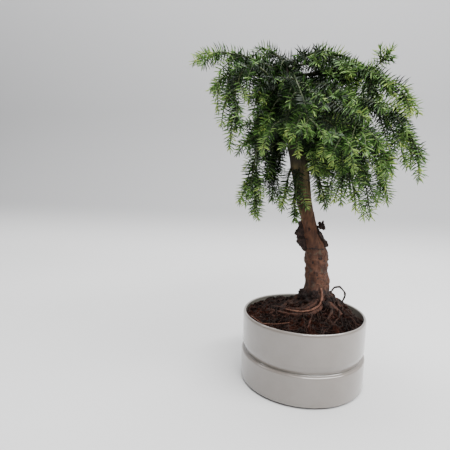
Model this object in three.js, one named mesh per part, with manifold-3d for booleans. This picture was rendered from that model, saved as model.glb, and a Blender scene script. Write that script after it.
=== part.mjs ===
// Hoop pine bonsai: a leaning trunk under a weeping crown of needled shoots, in a round grooved pot.
// Millimetres, +Z up. The origin is the centre of the pot's flat underside.
import * as THREE from 'three';
import { mergeVertices } from 'three/addons/utils/BufferGeometryUtils.js';
import Module from 'manifold-3d';

const wasm = await Module();
wasm.setup();

// Gap between pieces that touch on the real plant
const CLEARANCE = 0.3;

// The soil's cut round the bent roots is a little wider, so that the gap is nowhere lost
const SOIL_CUT = 0.9;

const POT = {
  radius: 75,
  height: 86,
  wall: 4,
  wallGrows: 6,
  floor: 6,
  footRound: 1.8,
  grooveHeight: 38.6,
  grooveDepth: 4.2,
  grooveWidth: 1.2,
  shoulderRound: 2.4,
  bodyFullHeight: 55,
  sectors: 44,
};

const SOIL = {
  edgeHeight: 80,
  edgeDrop: 2,
  moundHeight: 27,
  moundSpread: 46,
  crumb: 0.9,
  sectors: 24,
  rings: 5,
};

// The trunk's centre line and radius, from the flat cut at the soil to the tip inside the crown
const TRUNK_STATIONS = [
  { z: 98, x: 16.5, y: 0, radius: 17.2 },
  { z: 112, x: 15.2, y: 0, radius: 14.8 },
  { z: 125, x: 14.6, y: 0, radius: 13.7 },
  { z: 157, x: 12.9, y: 0, radius: 13.2 },
  { z: 168, x: 11.1, y: 0, radius: 12.1 },
  { z: 182, x: 5.8, y: 0, radius: 10.3 },
  { z: 200, x: 0.6, y: 0, radius: 8.9 },
  { z: 221, x: -4.9, y: 0, radius: 9.2 },
  { z: 263, x: -12.9, y: 0, radius: 10.3 },
  { z: 278, x: -15.6, y: 0, radius: 10.4 },
  { z: 300, x: -22.5, y: 1, radius: 7.4 },
  { z: 332, x: -27.5, y: 3, radius: 5.6 },
  { z: 352, x: -30, y: 5, radius: 4.6 },
  { z: 374, x: -33, y: 8, radius: 3.5 },
  { z: 388, x: -35, y: 10, radius: 2.4 },
];
const TRUNK = { sides: 16, ringStep: 8, barkRelief: 0.045 };
const FOOT = TRUNK_STATIONS[0];
const TOP = TRUNK_STATIONS[TRUNK_STATIONS.length - 1];

// Buttresses of the root flare: direction in degrees, and how far each stands out at the soil
const BUTTRESSES = [
  { heading: 5, reach: 6 },
  { heading: 68, reach: 4 },
  { heading: 118, reach: 5 },
  { heading: 182, reach: 10 },
  { heading: 238, reach: 5 },
  { heading: 292, reach: 5 },
];
const FLARE = { top: 126, width: 34 };

// Flakes of dark bark that stand off the trunk at its waist
const BARK_FLAKES = [
  { heading: 184, width: 34, low: 164, high: 199, reach: 7.4 },
  { heading: 354, width: 30, low: 169, high: 190, reach: 4.4 },
  { heading: 357, width: 24, low: 191, high: 201, reach: 9 },
  { heading: 176, width: 26, low: 151, high: 157, reach: 2 },
  { heading: 4, width: 30, low: 155, high: 163, reach: 2 },
];

// Roots that lie on the soil, in degrees and millimetres round the trunk's foot
const SURFACE_ROOTS = [
  { heading: 291, turn: -96, height: 124, reach: 48, thick: 1.9, thin: 1 },
  { heading: 268, turn: -62, height: 106, reach: 47, thick: 2.4, thin: 1 },
  { heading: 312, turn: -22, height: 108, reach: 42, thick: 3.2, thin: 1.2 },
  { heading: 338, turn: 14, height: 108, reach: 40, thick: 2.8, thin: 1 },
  { heading: 6, turn: 18, height: 110, reach: 42, thick: 4.2, thin: 1.4 },
  { heading: 66, turn: -18, height: 106, reach: 44, thick: 3.4, thin: 1.2 },
  { heading: 116, turn: 22, height: 107, reach: 46, thick: 3.6, thin: 1.2 },
  { heading: 182, turn: 16, height: 108, reach: 48, thick: 4.4, thin: 1.4 },
  { heading: 214, turn: -14, height: 104, reach: 50, thick: 2.8, thin: 1 },
];
const ROOT = { sink: 0.35, startDepth: 0.72, waver: 5, waves: 7, leaving: 0.31, sides: 5, steps: 7 };

// The wiry root that loops up out of the soil, right of the trunk, corner by corner
const ROOT_LOOP = [
  [30.5, 0, 100], [31.9, 0, 113], [36, 0.5, 119.3], [42.3, 1, 120.7],
  [48.7, 2, 113.5], [49.6, 2.5, 109.2], [46.3, 3, 97],
];
const LOOP_STRAND = { radius: 0.9, sides: 4, steps: 12 };

// Shoots of the crown: name, habit, height, heading, reach, tip, arch, sweep and hang. Each leaves the trunk
// at its height along its heading in degrees, and has its tip at its reach from the trunk and at its level.
// On the way arch lifts it and sweep bends it sideways. Hang is the share of the reach that it covers before
// it turns down. A bare shoot has no bough and starts at the trunk's own skin.
const SHOOTS = [
  ['left_top', 'arching', 372, 178, 113, 395, 40, 0, 0.82],
  ['left_high', 'arching', 366, 192, 93, 354, 35, -12, 0.54],
  ['left_back_top', 'bare', 384, 152, 55, 396, 39, 0, 0.88],
  ['left_middle', 'arching', 325, 214, 71, 304, 85, 25, 1.16],
  ['left_hanging', 'weeping', 343, 186, 38, 210, 41, 9, 0.95],
  ['left_hanging_front', 'weeping', 341, 210, 50, 227, 39, -11, 0.55],
  ['left_hanging_back', 'weeping', 307, 150, 27, 222, 38, -20, 1.1],
  ['beside_trunk', 'bare', 268, 262, 15, 208, 4, -45, 0.9],
  ['left_of_trunk', 'bare', 266, 200, 15, 232, 3, 0, 0.9],
  ['front_left', 'plain', 312, 245, 68, 278, 13, -70, 0.8],
  ['front_short', 'plain', 299, 276, 60, 274, 10, -50, 0.9],
  ['front_high', 'arching', 351, 283, 112, 290, 17, 8, 0.6],
  ['right_hanging_back', 'plain', 296, 30, 40, 224, 28, 4, 0.6],
  ['back_right_low', 'weeping', 312, 42, 69, 222, 46, 18, 1.1],
  ['right_hanging_front', 'weeping', 344, 327, 76, 224, 32, -4, 1.15],
  ['front_right_low', 'weeping', 317, 324, 92, 219, 6, -1, 0.77],
  ['right_low', 'weeping', 311, 348, 96, 209, 23, -8, 0.78],
  ['right_back_outer', 'weeping', 304, 20, 128, 222, 50, -18, 0.72],
  ['right_front_outer', 'weeping', 328, 336, 121, 257, 1, -2, 0.77],
  ['back_right_outer', 'arching', 352, 13, 146, 274, 2, -5, 0.86],
  ['right_outer', 'weeping', 338, 347, 146, 263, 14, -5, 0.9],
  ['right_high', 'weeping', 367, 358, 141, 329, 22, 3, 0.82],
  ['right_upturned', 'arching', 375, 7, 115, 401, -1, -1, 1.02],
  ['right_top', 'arching', 386, 350, 84, 377, 16, 8, 0.42],
  ['front_right_high', 'arching', 338, 311, 123, 284, 8, 18, 0.64],
  ['front_right', 'arching', 323, 302, 125, 275, -6, -4, 0.69],
  ['back', 'arching', 345, 81, 115, 285, 43, 10, 0.75],
  ['back_left', 'arching', 338, 120, 102, 262, 48, 10, 0.75],
  ['back_right', 'arching', 327, 52, 128, 255, 50, 8, 0.75],
  ['back_top', 'arching', 381, 30, 127, 348, 30, -4, 0.97],
].map(([name, habit, height, towards, reach, tip, arch, sweep, hang]) => (
  { name, habit, height, towards, reach, tip, arch, sweep, hang }));
const ROUTE = { steps: 48, firstPull: 0.38, firstLift: 0.75, waver: 2.4, waves: 9 };

// The woody start of each shoot, up to a share of its route
const BOUGH = { share: 0.15, perTrunk: 0.38, extra: 0.8, thickest: 2.3, thin: 1.4, sides: 5, steps: 2 };
const BOUGH_TO_STEM_GAP = 0.75;
const BARE_START_DEPTH = 0.7;

// Side twigs leave left and right in turn between the first and last share of a stem
const STEM = { thick: 1.35, thin: 0.75 };
const SIDE_TWIG = { thick: 1.05, thin: 0.6, length: 36 };
const SIDE_TWIGS = {
  arching: { spacing: 46, first: 0.3, last: 0.86, spread: 52 },
  weeping: { spacing: 32, first: 0.45, last: 0.9, spread: 34 },
  plain: { spacing: 90, first: 0.25, last: 0.5, spread: 36 },
  bare: { spacing: 90, first: 0.25, last: 0.5, spread: 30 },
};
const SIDE_TWIG_BEND = { spreadVaries: 10, tiltVaries: 35, shareVaries: 0.03, droop: 0.24, climb: 0.35 };
const SIDE_TWIG_LENGTH = { least: 0.75, most: 1.15, atStart: 1.1, lostToEnd: 0.35, straight: 0.5, out: 0.9 };

// Needles stand in threes round a stem, at bays as long as a needle's base
const NEEDLE = { length: 15, base: 2.9, gap: 10.6, lean: 54, leanVaries: 9, endLength: 10, twist: 38 };
const NEEDLE_PROBES = [0.25, 0.4, 0.55, 0.7, 0.85, 1];

// How the shoots keep out of each other's way
const SPACE = { cell: 6, step: 2, twigRoot: 6, twigMargin: 1.2, needleMargin: 0.6 };
const SPACE_ON_TRUNK = { step: 3, turn: 20, inset: 1, radius: 1.4 };
const TRUNK_OWNER = -1;
const OWNERS_PER_SHOOT = 100;

const MATERIALS = {
  ceramic: new THREE.MeshStandardMaterial({ color: 0xbdb8b0, roughness: 0.45, metalness: 0 }),
  soil: new THREE.MeshStandardMaterial({ color: 0x2c1c15, roughness: 1, metalness: 0 }),
  bark: new THREE.MeshStandardMaterial({ color: 0x6b4433, roughness: 0.9, metalness: 0 }),
  needles: new THREE.MeshStandardMaterial({ color: 0x2f5a26, roughness: 0.6, metalness: 0 }),
};

const UP = new THREE.Vector3(0, 0, 1);

function radians(degrees) {
  return THREE.MathUtils.degToRad(degrees);
}

function heading(degrees) {
  return new THREE.Vector3(Math.cos(radians(degrees)), Math.sin(radians(degrees)), 0);
}

// A repeatable number from 0 to 1 for a set of whole numbers
function chance(...keys) {
  let mixed = 2166136261;
  for (const key of keys) {
    mixed = Math.imul(mixed ^ key, 2654435761);
    mixed ^= mixed >>> 15;
    mixed = Math.imul(mixed, 2246822519);
    mixed ^= mixed >>> 13;
  }
  return (mixed >>> 0) / 4294967296;
}

function chanceBetween(low, high, ...keys) {
  return low + (high - low) * chance(...keys);
}

// Solids

function toSolid(points, triangles) {
  const vertProperties = new Float32Array(points.flatMap((point) => [point.x, point.y, point.z]));
  const triVerts = new Uint32Array(triangles.flat());
  return new wasm.Manifold(new wasm.Mesh({ numProp: 3, vertProperties, triVerts }));
}

function toGeometry(solid) {
  const mesh = solid.getMesh();
  const geometry = new THREE.BufferGeometry();
  geometry.setAttribute('position', new THREE.BufferAttribute(mesh.vertProperties, 3));
  geometry.setIndex(new THREE.BufferAttribute(mesh.triVerts, 1));
  geometry.computeVertexNormals();
  return geometry;
}

// A closed skin over rings of points; each ring runs anticlockwise seen from the last ring's side
function skin(rings) {
  const sides = rings[0].length;
  const points = rings.flat();
  const triangles = [];
  for (let ring = 0; ring + 1 < rings.length; ring += 1) {
    for (let side = 0; side < sides; side += 1) {
      const here = ring * sides + side;
      const next = ring * sides + ((side + 1) % sides);
      triangles.push([here, next, next + sides], [here, next + sides, here + sides]);
    }
  }
  const last = (rings.length - 1) * sides;
  for (let side = 1; side + 1 < sides; side += 1) {
    triangles.push([0, side + 1, side], [last, last + side, last + side + 1]);
  }
  return toSolid(points, triangles);
}

// The places at some distances along a curve, each with the direction there and two cross vectors
function framesAlong(curve, distances) {
  const length = curve.getLength();
  let across = null;
  return distances.map((distance) => {
    const share = THREE.MathUtils.clamp(distance / length, 0, 1);
    const along = curve.getTangentAt(share);
    across ??= new THREE.Vector3().crossVectors(along, Math.abs(along.z) < 0.9 ? UP : heading(0));
    across.addScaledVector(along, -across.dot(along)).normalize();
    const over = new THREE.Vector3().crossVectors(along, across);
    return { centre: curve.getPointAt(share), along, across: across.clone(), over };
  });
}

function ringPoints(frame, radius, sides, turn = 0) {
  return Array.from({ length: sides }, (_, side) => {
    const angle = turn + (side * 2 * Math.PI) / sides;
    return frame.centre.clone()
      .addScaledVector(frame.across, radius * Math.cos(angle))
      .addScaledVector(frame.over, radius * Math.sin(angle));
  });
}

// A tapering limb over a share of a curve; grow makes it that much fatter and longer at both ends
function taperedTube(curve, from, to, thick, thin, sides, steps, grow = 0) {
  const length = curve.getLength();
  const distances = Array.from({ length: steps + 1 }, (_, step) => (
    THREE.MathUtils.lerp(from, to, step / steps) * length));
  const frames = framesAlong(curve, distances);
  frames[0].centre.addScaledVector(frames[0].along, -grow);
  frames[steps].centre.addScaledVector(frames[steps].along, grow);
  const corner = grow / Math.cos(Math.PI / sides);
  return skin(frames.map((frame, step) => (
    ringPoints(frame, THREE.MathUtils.lerp(thick, thin, step / steps) + corner, sides))));
}

// Pot

function arcPoints(centreR, centreZ, radius, from, to, steps) {
  return Array.from({ length: steps + 1 }, (_, step) => {
    const angle = radians(THREE.MathUtils.lerp(from, to, step / steps));
    return new THREE.Vector2(centreR + radius * Math.cos(angle), centreZ + radius * Math.sin(angle));
  });
}

// The inside wall leans in from just under the rim down to the floor, so that the groove stays clear of it
function innerRadius(z) {
  const top = POT.height - POT.wall / 2;
  return POT.radius - POT.wall - (POT.wallGrows * (top - z)) / (top - POT.floor);
}

function potGeometry() {
  const { radius, height, wall, footRound, shoulderRound, grooveHeight, grooveWidth, grooveDepth } = POT;
  const rim = wall / 2;
  const swellSteps = 3;
  const swell = Array.from({ length: swellSteps + 1 }, (_, step) => {
    const share = step / swellSteps;
    const inset = grooveDepth * (1 - Math.sin((share * Math.PI) / 2));
    const z = THREE.MathUtils.lerp(grooveHeight + grooveWidth, POT.bodyFullHeight, share);
    return new THREE.Vector2(radius - inset, z);
  });
  const outline = [
    new THREE.Vector2(0, 0),
    ...arcPoints(radius - footRound, footRound, footRound, -90, 0, 1),
    ...arcPoints(radius - shoulderRound, grooveHeight - shoulderRound, shoulderRound, 0, 90, 2),
    ...swell,
    ...arcPoints(radius - rim, height - rim, rim, 0, 180, 4),
    new THREE.Vector2(innerRadius(POT.floor), POT.floor),
    new THREE.Vector2(0, POT.floor),
  ];
  const geometry = new THREE.LatheGeometry(outline, POT.sectors);
  geometry.rotateX(Math.PI / 2);
  geometry.deleteAttribute('uv');
  geometry.deleteAttribute('normal');
  const merged = mergeVertices(geometry, 1e-3);
  merged.computeVertexNormals();
  return merged;
}

// Trunk

// A smooth value between the trunk's stations at a height
function trunkValue(key, z) {
  const last = TRUNK_STATIONS.length - 1;
  let low = 0;
  while (low < last - 1 && TRUNK_STATIONS[low + 1].z < z) {
    low += 1;
  }
  const slope = (index) => {
    const before = TRUNK_STATIONS[Math.max(index - 1, 0)];
    const after = TRUNK_STATIONS[Math.min(index + 1, last)];
    return (after[key] - before[key]) / (after.z - before.z);
  };
  const [start, end] = [TRUNK_STATIONS[low], TRUNK_STATIONS[low + 1]];
  const span = end.z - start.z;
  const t = (z - start.z) / span;
  return (2 * t ** 3 - 3 * t ** 2 + 1) * start[key] + (t ** 3 - 2 * t ** 2 + t) * span * slope(low)
    + (3 * t ** 2 - 2 * t ** 3) * end[key] + (t ** 3 - t ** 2) * span * slope(low + 1);
}

function trunkCentre(z) {
  return new THREE.Vector3(trunkValue('x', z), trunkValue('y', z), z);
}

// How much of a bump centred on one heading shows at another, for a bump so many degrees wide
function facing(angle, towards, width) {
  const apart = Math.abs(THREE.MathUtils.euclideanModulo(angle - towards + 180, 360) - 180);
  return apart < width ? Math.cos((apart / width) * (Math.PI / 2)) : 0;
}

function trunkRadius(z, angle) {
  let radius = trunkValue('radius', z);
  radius *= 1 + TRUNK.barkRelief * Math.sin(radians(angle * 5) + z * 0.11) * Math.sin(z * 0.23 + 1);
  const flare = Math.max(0, (FLARE.top - z) / (FLARE.top - FOOT.z)) ** 2;
  for (const buttress of BUTTRESSES) {
    radius += buttress.reach * flare * facing(angle, buttress.heading, FLARE.width);
  }
  for (const flake of BARK_FLAKES) {
    const within = z > flake.low && z < flake.high;
    const rise = within ? Math.sin((Math.PI * (z - flake.low)) / (flake.high - flake.low)) ** 0.5 : 0;
    radius += flake.reach * rise * facing(angle, flake.heading, flake.width);
  }
  return radius;
}

// The trunk without its roots; grow makes it that much fatter, and longer at both ends
function trunkCore(grow) {
  const steps = Math.round((TOP.z - FOOT.z) / TRUNK.ringStep);
  const rings = Array.from({ length: steps + 1 }, (_, step) => {
    const z = THREE.MathUtils.lerp(FOOT.z, TOP.z, step / steps);
    const centre = trunkCentre(z);
    if (step === 0) {
      centre.z -= grow;
    }
    if (step === steps) {
      centre.z += grow;
    }
    return Array.from({ length: TRUNK.sides }, (_, side) => {
      const angle = (side * 360) / TRUNK.sides;
      return heading(angle).multiplyScalar(trunkRadius(z, angle) + grow).add(centre);
    });
  });
  return skin(rings);
}

// Soil and the roots on it

function soilHeight(x, y) {
  const away = Math.hypot(x - FOOT.x, y - FOOT.y) / SOIL.moundSpread;
  const inward = 1 - Math.min(1, Math.hypot(x, y) / (POT.radius - POT.wall)) ** 6;
  const crumbs = Math.sin(x * 0.41 + 1) * Math.sin(y * 0.37) + 0.6 * Math.sin(x * 0.9 - y * 0.7);
  return SOIL.edgeHeight + SOIL.moundHeight * Math.exp(-(away ** 2)) * inward + SOIL.crumb * crumbs;
}

// A root leaves the trunk inside its bark, comes down to the soil and runs out along it, half sunk
function rootRoute(root) {
  const startReach = ROOT.startDepth * trunkRadius(root.height, root.heading);
  const points = Array.from({ length: ROOT.steps + 1 }, (_, step) => {
    const share = step / ROOT.steps;
    const waver = ROOT.waver * Math.sin(share * ROOT.waves + root.heading) * share;
    const point = heading(root.heading + root.turn * share + waver)
      .multiplyScalar(THREE.MathUtils.lerp(startReach, root.reach, share))
      .add(new THREE.Vector3(FOOT.x, FOOT.y, 0));
    const thick = THREE.MathUtils.lerp(root.thick, root.thin, share);
    const onSoil = soilHeight(point.x, point.y) + thick * (1 - ROOT.sink);
    const leaving = Math.max(0, 1 - share / ROOT.leaving) ** 2;
    point.z = THREE.MathUtils.lerp(onSoil, root.height, leaving);
    return point;
  });
  return new THREE.CatmullRomCurve3(points);
}

function rootLoopRoute() {
  return new THREE.CatmullRomCurve3(ROOT_LOOP.map((corner) => new THREE.Vector3(...corner)));
}

function rootSolids(grow) {
  const roots = SURFACE_ROOTS.map((root) => taperedTube(
    rootRoute(root), 0, 1, root.thick, root.thin, ROOT.sides, ROOT.steps, grow));
  const { radius, sides, steps } = LOOP_STRAND;
  const loop = taperedTube(rootLoopRoute(), 0, 1, radius, radius, sides, steps, grow);
  return [...roots, loop];
}

function trunkSolid(grow) {
  return rootSolids(grow).reduce((whole, root) => whole.add(root), trunkCore(grow));
}

function soilSolid() {
  const bottom = POT.floor + CLEARANCE;
  const [outer, foot] = [SOIL.edgeHeight - SOIL.edgeDrop, bottom].map((z) => (
    innerRadius(z) * Math.cos(Math.PI / POT.sectors) - CLEARANCE));
  const ringAt = (radius, height) => Array.from({ length: SOIL.sectors }, (_, sector) => {
    const point = heading((sector * 360) / SOIL.sectors).multiplyScalar(radius);
    point.z = height ?? soilHeight(point.x, point.y);
    return point;
  });
  const rings = [ringAt(foot, bottom)];
  for (let ring = 0; ring < SOIL.rings; ring += 1) {
    rings.push(ringAt(outer * (1 - (ring / SOIL.rings) ** 1.1)));
  }
  return skin(rings).subtract(trunkSolid(SOIL_CUT));
}

// Crown

// Everything that already fills the air, as small balls in a grid of cells
class FilledSpace {
  constructor(cell) {
    this.cell = cell;
    this.cells = new Map();
  }

  key(x, y, z) {
    return `${x},${y},${z}`;
  }

  add(point, radius, owner) {
    const [x, y, z] = point.toArray().map((value) => Math.floor(value / this.cell));
    const key = this.key(x, y, z);
    if (!this.cells.has(key)) {
      this.cells.set(key, []);
    }
    this.cells.get(key).push({ point, radius, owner });
  }

  isClear(point, radius, ignored) {
    const [x, y, z] = point.toArray().map((value) => Math.floor(value / this.cell));
    for (let dx = -1; dx <= 1; dx += 1) {
      for (let dy = -1; dy <= 1; dy += 1) {
        for (let dz = -1; dz <= 1; dz += 1) {
          for (const ball of this.cells.get(this.key(x + dx, y + dy, z + dz)) ?? []) {
            const near = ball.point.distanceTo(point) < ball.radius + radius;
            if (near && !ignored.includes(ball.owner)) {
              return false;
            }
          }
        }
      }
    }
    return true;
  }
}

function spanOfCurve(curve, from, to) {
  const points = Array.from({ length: ROUTE.steps + 1 }, (_, step) => (
    curve.getPointAt(THREE.MathUtils.lerp(from, to, step / ROUTE.steps))));
  return new THREE.CatmullRomCurve3(points);
}

// A shoot's whole route, from the middle of the trunk to its tip
function shootRoute(shoot, number) {
  const from = trunkCentre(shoot.height);
  const out = heading(shoot.towards - shoot.sweep);
  const away = heading(shoot.towards);
  const arch = new THREE.CubicBezierCurve3(
    from,
    from.clone().addScaledVector(out, shoot.reach * ROUTE.firstPull)
      .setZ(shoot.height + shoot.arch * ROUTE.firstLift),
    from.clone().addScaledVector(away, shoot.reach * shoot.hang).setZ(shoot.height + shoot.arch),
    from.clone().addScaledVector(away, shoot.reach).setZ(shoot.tip),
  );
  const side = new THREE.Vector3().crossVectors(UP, away);
  const start = chanceBetween(0, 6, number, 1);
  const points = arch.getSpacedPoints(ROUTE.steps).map((point, step) => {
    const share = step / ROUTE.steps;
    return point.addScaledVector(side, ROUTE.waver * share * Math.sin(share * ROUTE.waves + start));
  });
  return new THREE.CatmullRomCurve3(points);
}

// The route of one side twig: out of the stem at an angle, then drooping
function sideTwigRoute(stem, side, habit, number, twig, count) {
  const { spreadVaries, tiltVaries, shareVaries, droop, climb } = SIDE_TWIG_BEND;
  const { least, most, atStart, lostToEnd, straight, out: outward } = SIDE_TWIG_LENGTH;
  const share = THREE.MathUtils.lerp(habit.first, habit.last, (twig + 0.5) / count)
    + chanceBetween(-shareVaries, shareVaries, number, twig, 2);
  const hand = (twig + number) % 2 ? 1 : -1;
  const opening = radians(habit.spread + chanceBetween(-spreadVaries, spreadVaries, number, twig, 3));
  const tilt = radians(chanceBetween(-tiltVaries, tiltVaries, number, twig, 4));
  const along = stem.getTangentAt(share);
  const over = new THREE.Vector3().crossVectors(along, side);
  const sideways = side.clone().multiplyScalar(Math.cos(tilt)).addScaledVector(over, Math.sin(tilt));
  const out = along.clone().multiplyScalar(Math.cos(opening))
    .addScaledVector(sideways, hand * Math.sin(opening));
  out.z = Math.min(out.z, climb);
  const shrink = chanceBetween(least, most, number, twig, 5) * (atStart - lostToEnd * share);
  const reach = SIDE_TWIG.length * shrink;
  const root = stem.getPointAt(share);
  return new THREE.QuadraticBezierCurve3(
    root,
    root.clone().addScaledVector(out, reach * straight),
    root.clone().addScaledVector(out, reach * outward).addScaledVector(UP, -reach * droop),
  );
}

// Distances of the rings along a stem: a plain stretch, then the short bay that bears needles
function ringDistances(length) {
  const distances = [0];
  const bay = NEEDLE.base + NEEDLE.gap;
  for (let at = NEEDLE.gap / 2; at + NEEDLE.base < length - 2; at += bay) {
    distances.push(at, at + NEEDLE.base);
  }
  return [...distances, length];
}

function planStem(curve, thick, thin, owner) {
  const length = curve.getLength();
  const distances = ringDistances(length);
  const frames = framesAlong(curve, distances);
  const rings = frames.map((frame, index) => {
    const radius = THREE.MathUtils.lerp(thick, thin, distances[index] / length);
    return ringPoints(frame, radius, 3, radians(NEEDLE.twist * Math.ceil(index / 2)) + owner);
  });
  return { frames, rings, owner };
}

// Points every step along a curve and on past its end, where a stem has its last needle
function pointsAlong(curve, from, past) {
  const length = curve.getLength();
  const end = curve.getPointAt(1);
  const onward = curve.getTangentAt(1);
  const points = [];
  for (let at = from; at <= length + past; at += SPACE.step) {
    const inside = Math.min(at, length);
    points.push((at < length ? curve.getPointAt(inside / length) : end.clone())
      .addScaledVector(onward, at - inside));
  }
  return points;
}

// The tip of the needle on one side of a bay, or null where something is in its way
function needleTip(space, stem, ring, side) {
  const next = (side + 1) % 3;
  const corners = [
    stem.rings[ring][side], stem.rings[ring][next],
    stem.rings[ring + 1][side], stem.rings[ring + 1][next],
  ];
  const foot = corners.reduce((sum, corner) => sum.add(corner), new THREE.Vector3()).divideScalar(4);
  const { along, centre } = stem.frames[ring];
  const out = foot.clone().sub(centre);
  out.addScaledVector(along, -out.dot(along)).normalize();
  const { leanVaries } = NEEDLE;
  const lean = radians(NEEDLE.lean + chanceBetween(-leanVaries, leanVaries, stem.owner, ring, side));
  const direction = out.multiplyScalar(Math.sin(lean)).addScaledVector(along, Math.cos(lean));
  const length = NEEDLE.length * chanceBetween(0.85, 1.1, stem.owner, ring, side, 7);
  const probes = NEEDLE_PROBES.map((share) => {
    const point = foot.clone().addScaledVector(direction, length * share);
    return { point, radius: (NEEDLE.base / 2) * (1 - share) };
  });
  const clear = probes.every(({ point, radius }) => (
    space.isClear(point, radius + SPACE.needleMargin, [stem.owner])));
  if (!clear) {
    return null;
  }
  for (const { point, radius } of probes) {
    space.add(point, radius, stem.owner + 1);
  }
  return probes[probes.length - 1].point;
}

// A three-sided stem with its needles, each a slim pyramid on one side of a bay, and one at the end
function stemSolid(space, stem) {
  const points = stem.rings.flat();
  const triangles = [[0, 2, 1]];
  const last = stem.rings.length - 1;
  for (let ring = 0; ring < last; ring += 1) {
    const bears = ring % 2 === 1;
    for (let side = 0; side < 3; side += 1) {
      const a = ring * 3 + side;
      const b = ring * 3 + ((side + 1) % 3);
      const tip = bears ? needleTip(space, stem, ring, side) : null;
      if (tip) {
        const apex = points.push(tip) - 1;
        triangles.push([a, b, apex], [b, b + 3, apex], [b + 3, a + 3, apex], [a + 3, a, apex]);
      } else {
        triangles.push([a, b, b + 3], [a, b + 3, a + 3]);
      }
    }
  }
  const end = stem.frames[last];
  const apex = points.push(end.centre.clone().addScaledVector(end.along, NEEDLE.endLength)) - 1;
  for (let side = 0; side < 3; side += 1) {
    triangles.push([last * 3 + side, last * 3 + ((side + 1) % 3), apex]);
  }
  return toSolid(points, triangles);
}

function fillTrunkSpace(space) {
  const { step, turn, inset, radius } = SPACE_ON_TRUNK;
  for (let z = FOOT.z; z < TOP.z; z += step) {
    for (let angle = 0; angle < 360; angle += turn) {
      const out = trunkRadius(z, angle) - inset;
      space.add(heading(angle).multiplyScalar(out).add(trunkCentre(z)), radius, TRUNK_OWNER);
    }
  }
}

// A shoot's route, its bough's thickness and where its needled stem starts
function planShoot(space, shoot, number) {
  const bare = shoot.habit === 'bare';
  const route = shootRoute(shoot, number);
  const length = route.getLength();
  const trunkThick = trunkValue('radius', shoot.height);
  const boughEnd = bare ? (trunkThick * BARE_START_DEPTH) / length : BOUGH.share;
  const gap = bare ? 0 : BOUGH_TO_STEM_GAP / length;
  const stem = spanOfCurve(route, boughEnd + gap, 1);
  const thick = Math.min(BOUGH.thickest, BOUGH.extra + BOUGH.perTrunk * trunkThick);
  const owner = number * OWNERS_PER_SHOOT;
  for (const point of pointsAlong(spanOfCurve(route, 0, boughEnd), 0, 0)) {
    space.add(point, thick, TRUNK_OWNER);
  }
  for (const point of pointsAlong(stem, 0, NEEDLE.endLength)) {
    space.add(point, STEM.thick, owner);
  }
  return { shoot, bare, number, owner, route, boughEnd, thick, stem };
}

// The stem and those of its side twigs that find room, ready for their needles
function planStems(space, { shoot, number, owner, stem }) {
  const planned = [planStem(stem, STEM.thick, STEM.thin, owner)];
  const side = new THREE.Vector3().crossVectors(UP, heading(shoot.towards));
  const habit = SIDE_TWIGS[shoot.habit];
  const count = 1 + Math.round((stem.getLength() * (habit.last - habit.first)) / habit.spacing);
  for (let twig = 0; twig < count; twig += 1) {
    const route = sideTwigRoute(stem, side, habit, number, twig, count);
    const twigOwner = owner + 2 + twig * 2;
    const clear = pointsAlong(route, SPACE.twigRoot, NEEDLE.endLength).every((point) => (
      space.isClear(point, SIDE_TWIG.thick + SPACE.twigMargin, [])));
    if (clear) {
      for (const point of pointsAlong(route, 0, NEEDLE.endLength)) {
        space.add(point, SIDE_TWIG.thick, twigOwner);
      }
      planned.push(planStem(route, SIDE_TWIG.thick, SIDE_TWIG.thin, twigOwner));
    }
  }
  return planned;
}

// The solid without the sealed specks that can be left where its twigs cross
function withoutSpecks(solid) {
  return solid.decompose().reduce((most, part) => (part.volume() > most.volume() ? part : most));
}

// Every bough and mass of foliage, by node name
function growCrown() {
  const space = new FilledSpace(SPACE.cell);
  fillTrunkSpace(space);
  const trunk = trunkCore(CLEARANCE);
  const shoots = SHOOTS.map((shoot, number) => planShoot(space, shoot, number));
  const stems = shoots.map((plan) => planStems(space, plan));
  return shoots.flatMap(({ shoot, bare, route, boughEnd, thick }, index) => {
    const whole = stems[index].map((stem) => stemSolid(space, stem)).reduce((sum, part) => sum.add(part));
    const mass = withoutSpecks(whole);
    if (bare) {
      return [{ name: `foliage_${shoot.name}`, solid: mass.subtract(trunk), material: MATERIALS.needles }];
    }
    const bough = taperedTube(route, 0, boughEnd, thick, BOUGH.thin, BOUGH.sides, BOUGH.steps);
    return [
      { name: `bough_${shoot.name}`, solid: bough.subtract(trunk), material: MATERIALS.bark },
      { name: `foliage_${shoot.name}`, solid: mass, material: MATERIALS.needles },
    ];
  });
}

// The whole plant

const plant = new THREE.Group();

function addPiece(name, geometry, material) {
  const mesh = new THREE.Mesh(geometry, material);
  mesh.name = name;
  plant.add(mesh);
}

addPiece('pot', potGeometry(), MATERIALS.ceramic);
addPiece('soil', toGeometry(soilSolid()), MATERIALS.soil);
addPiece('trunk', toGeometry(trunkSolid(0)), MATERIALS.bark);
for (const { name, solid, material } of growCrown()) {
  addPiece(name, toGeometry(solid), material);
}

export default plant;
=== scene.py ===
import itertools
import math

import bpy
import numpy as np
from mathutils import Matrix, Vector


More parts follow.
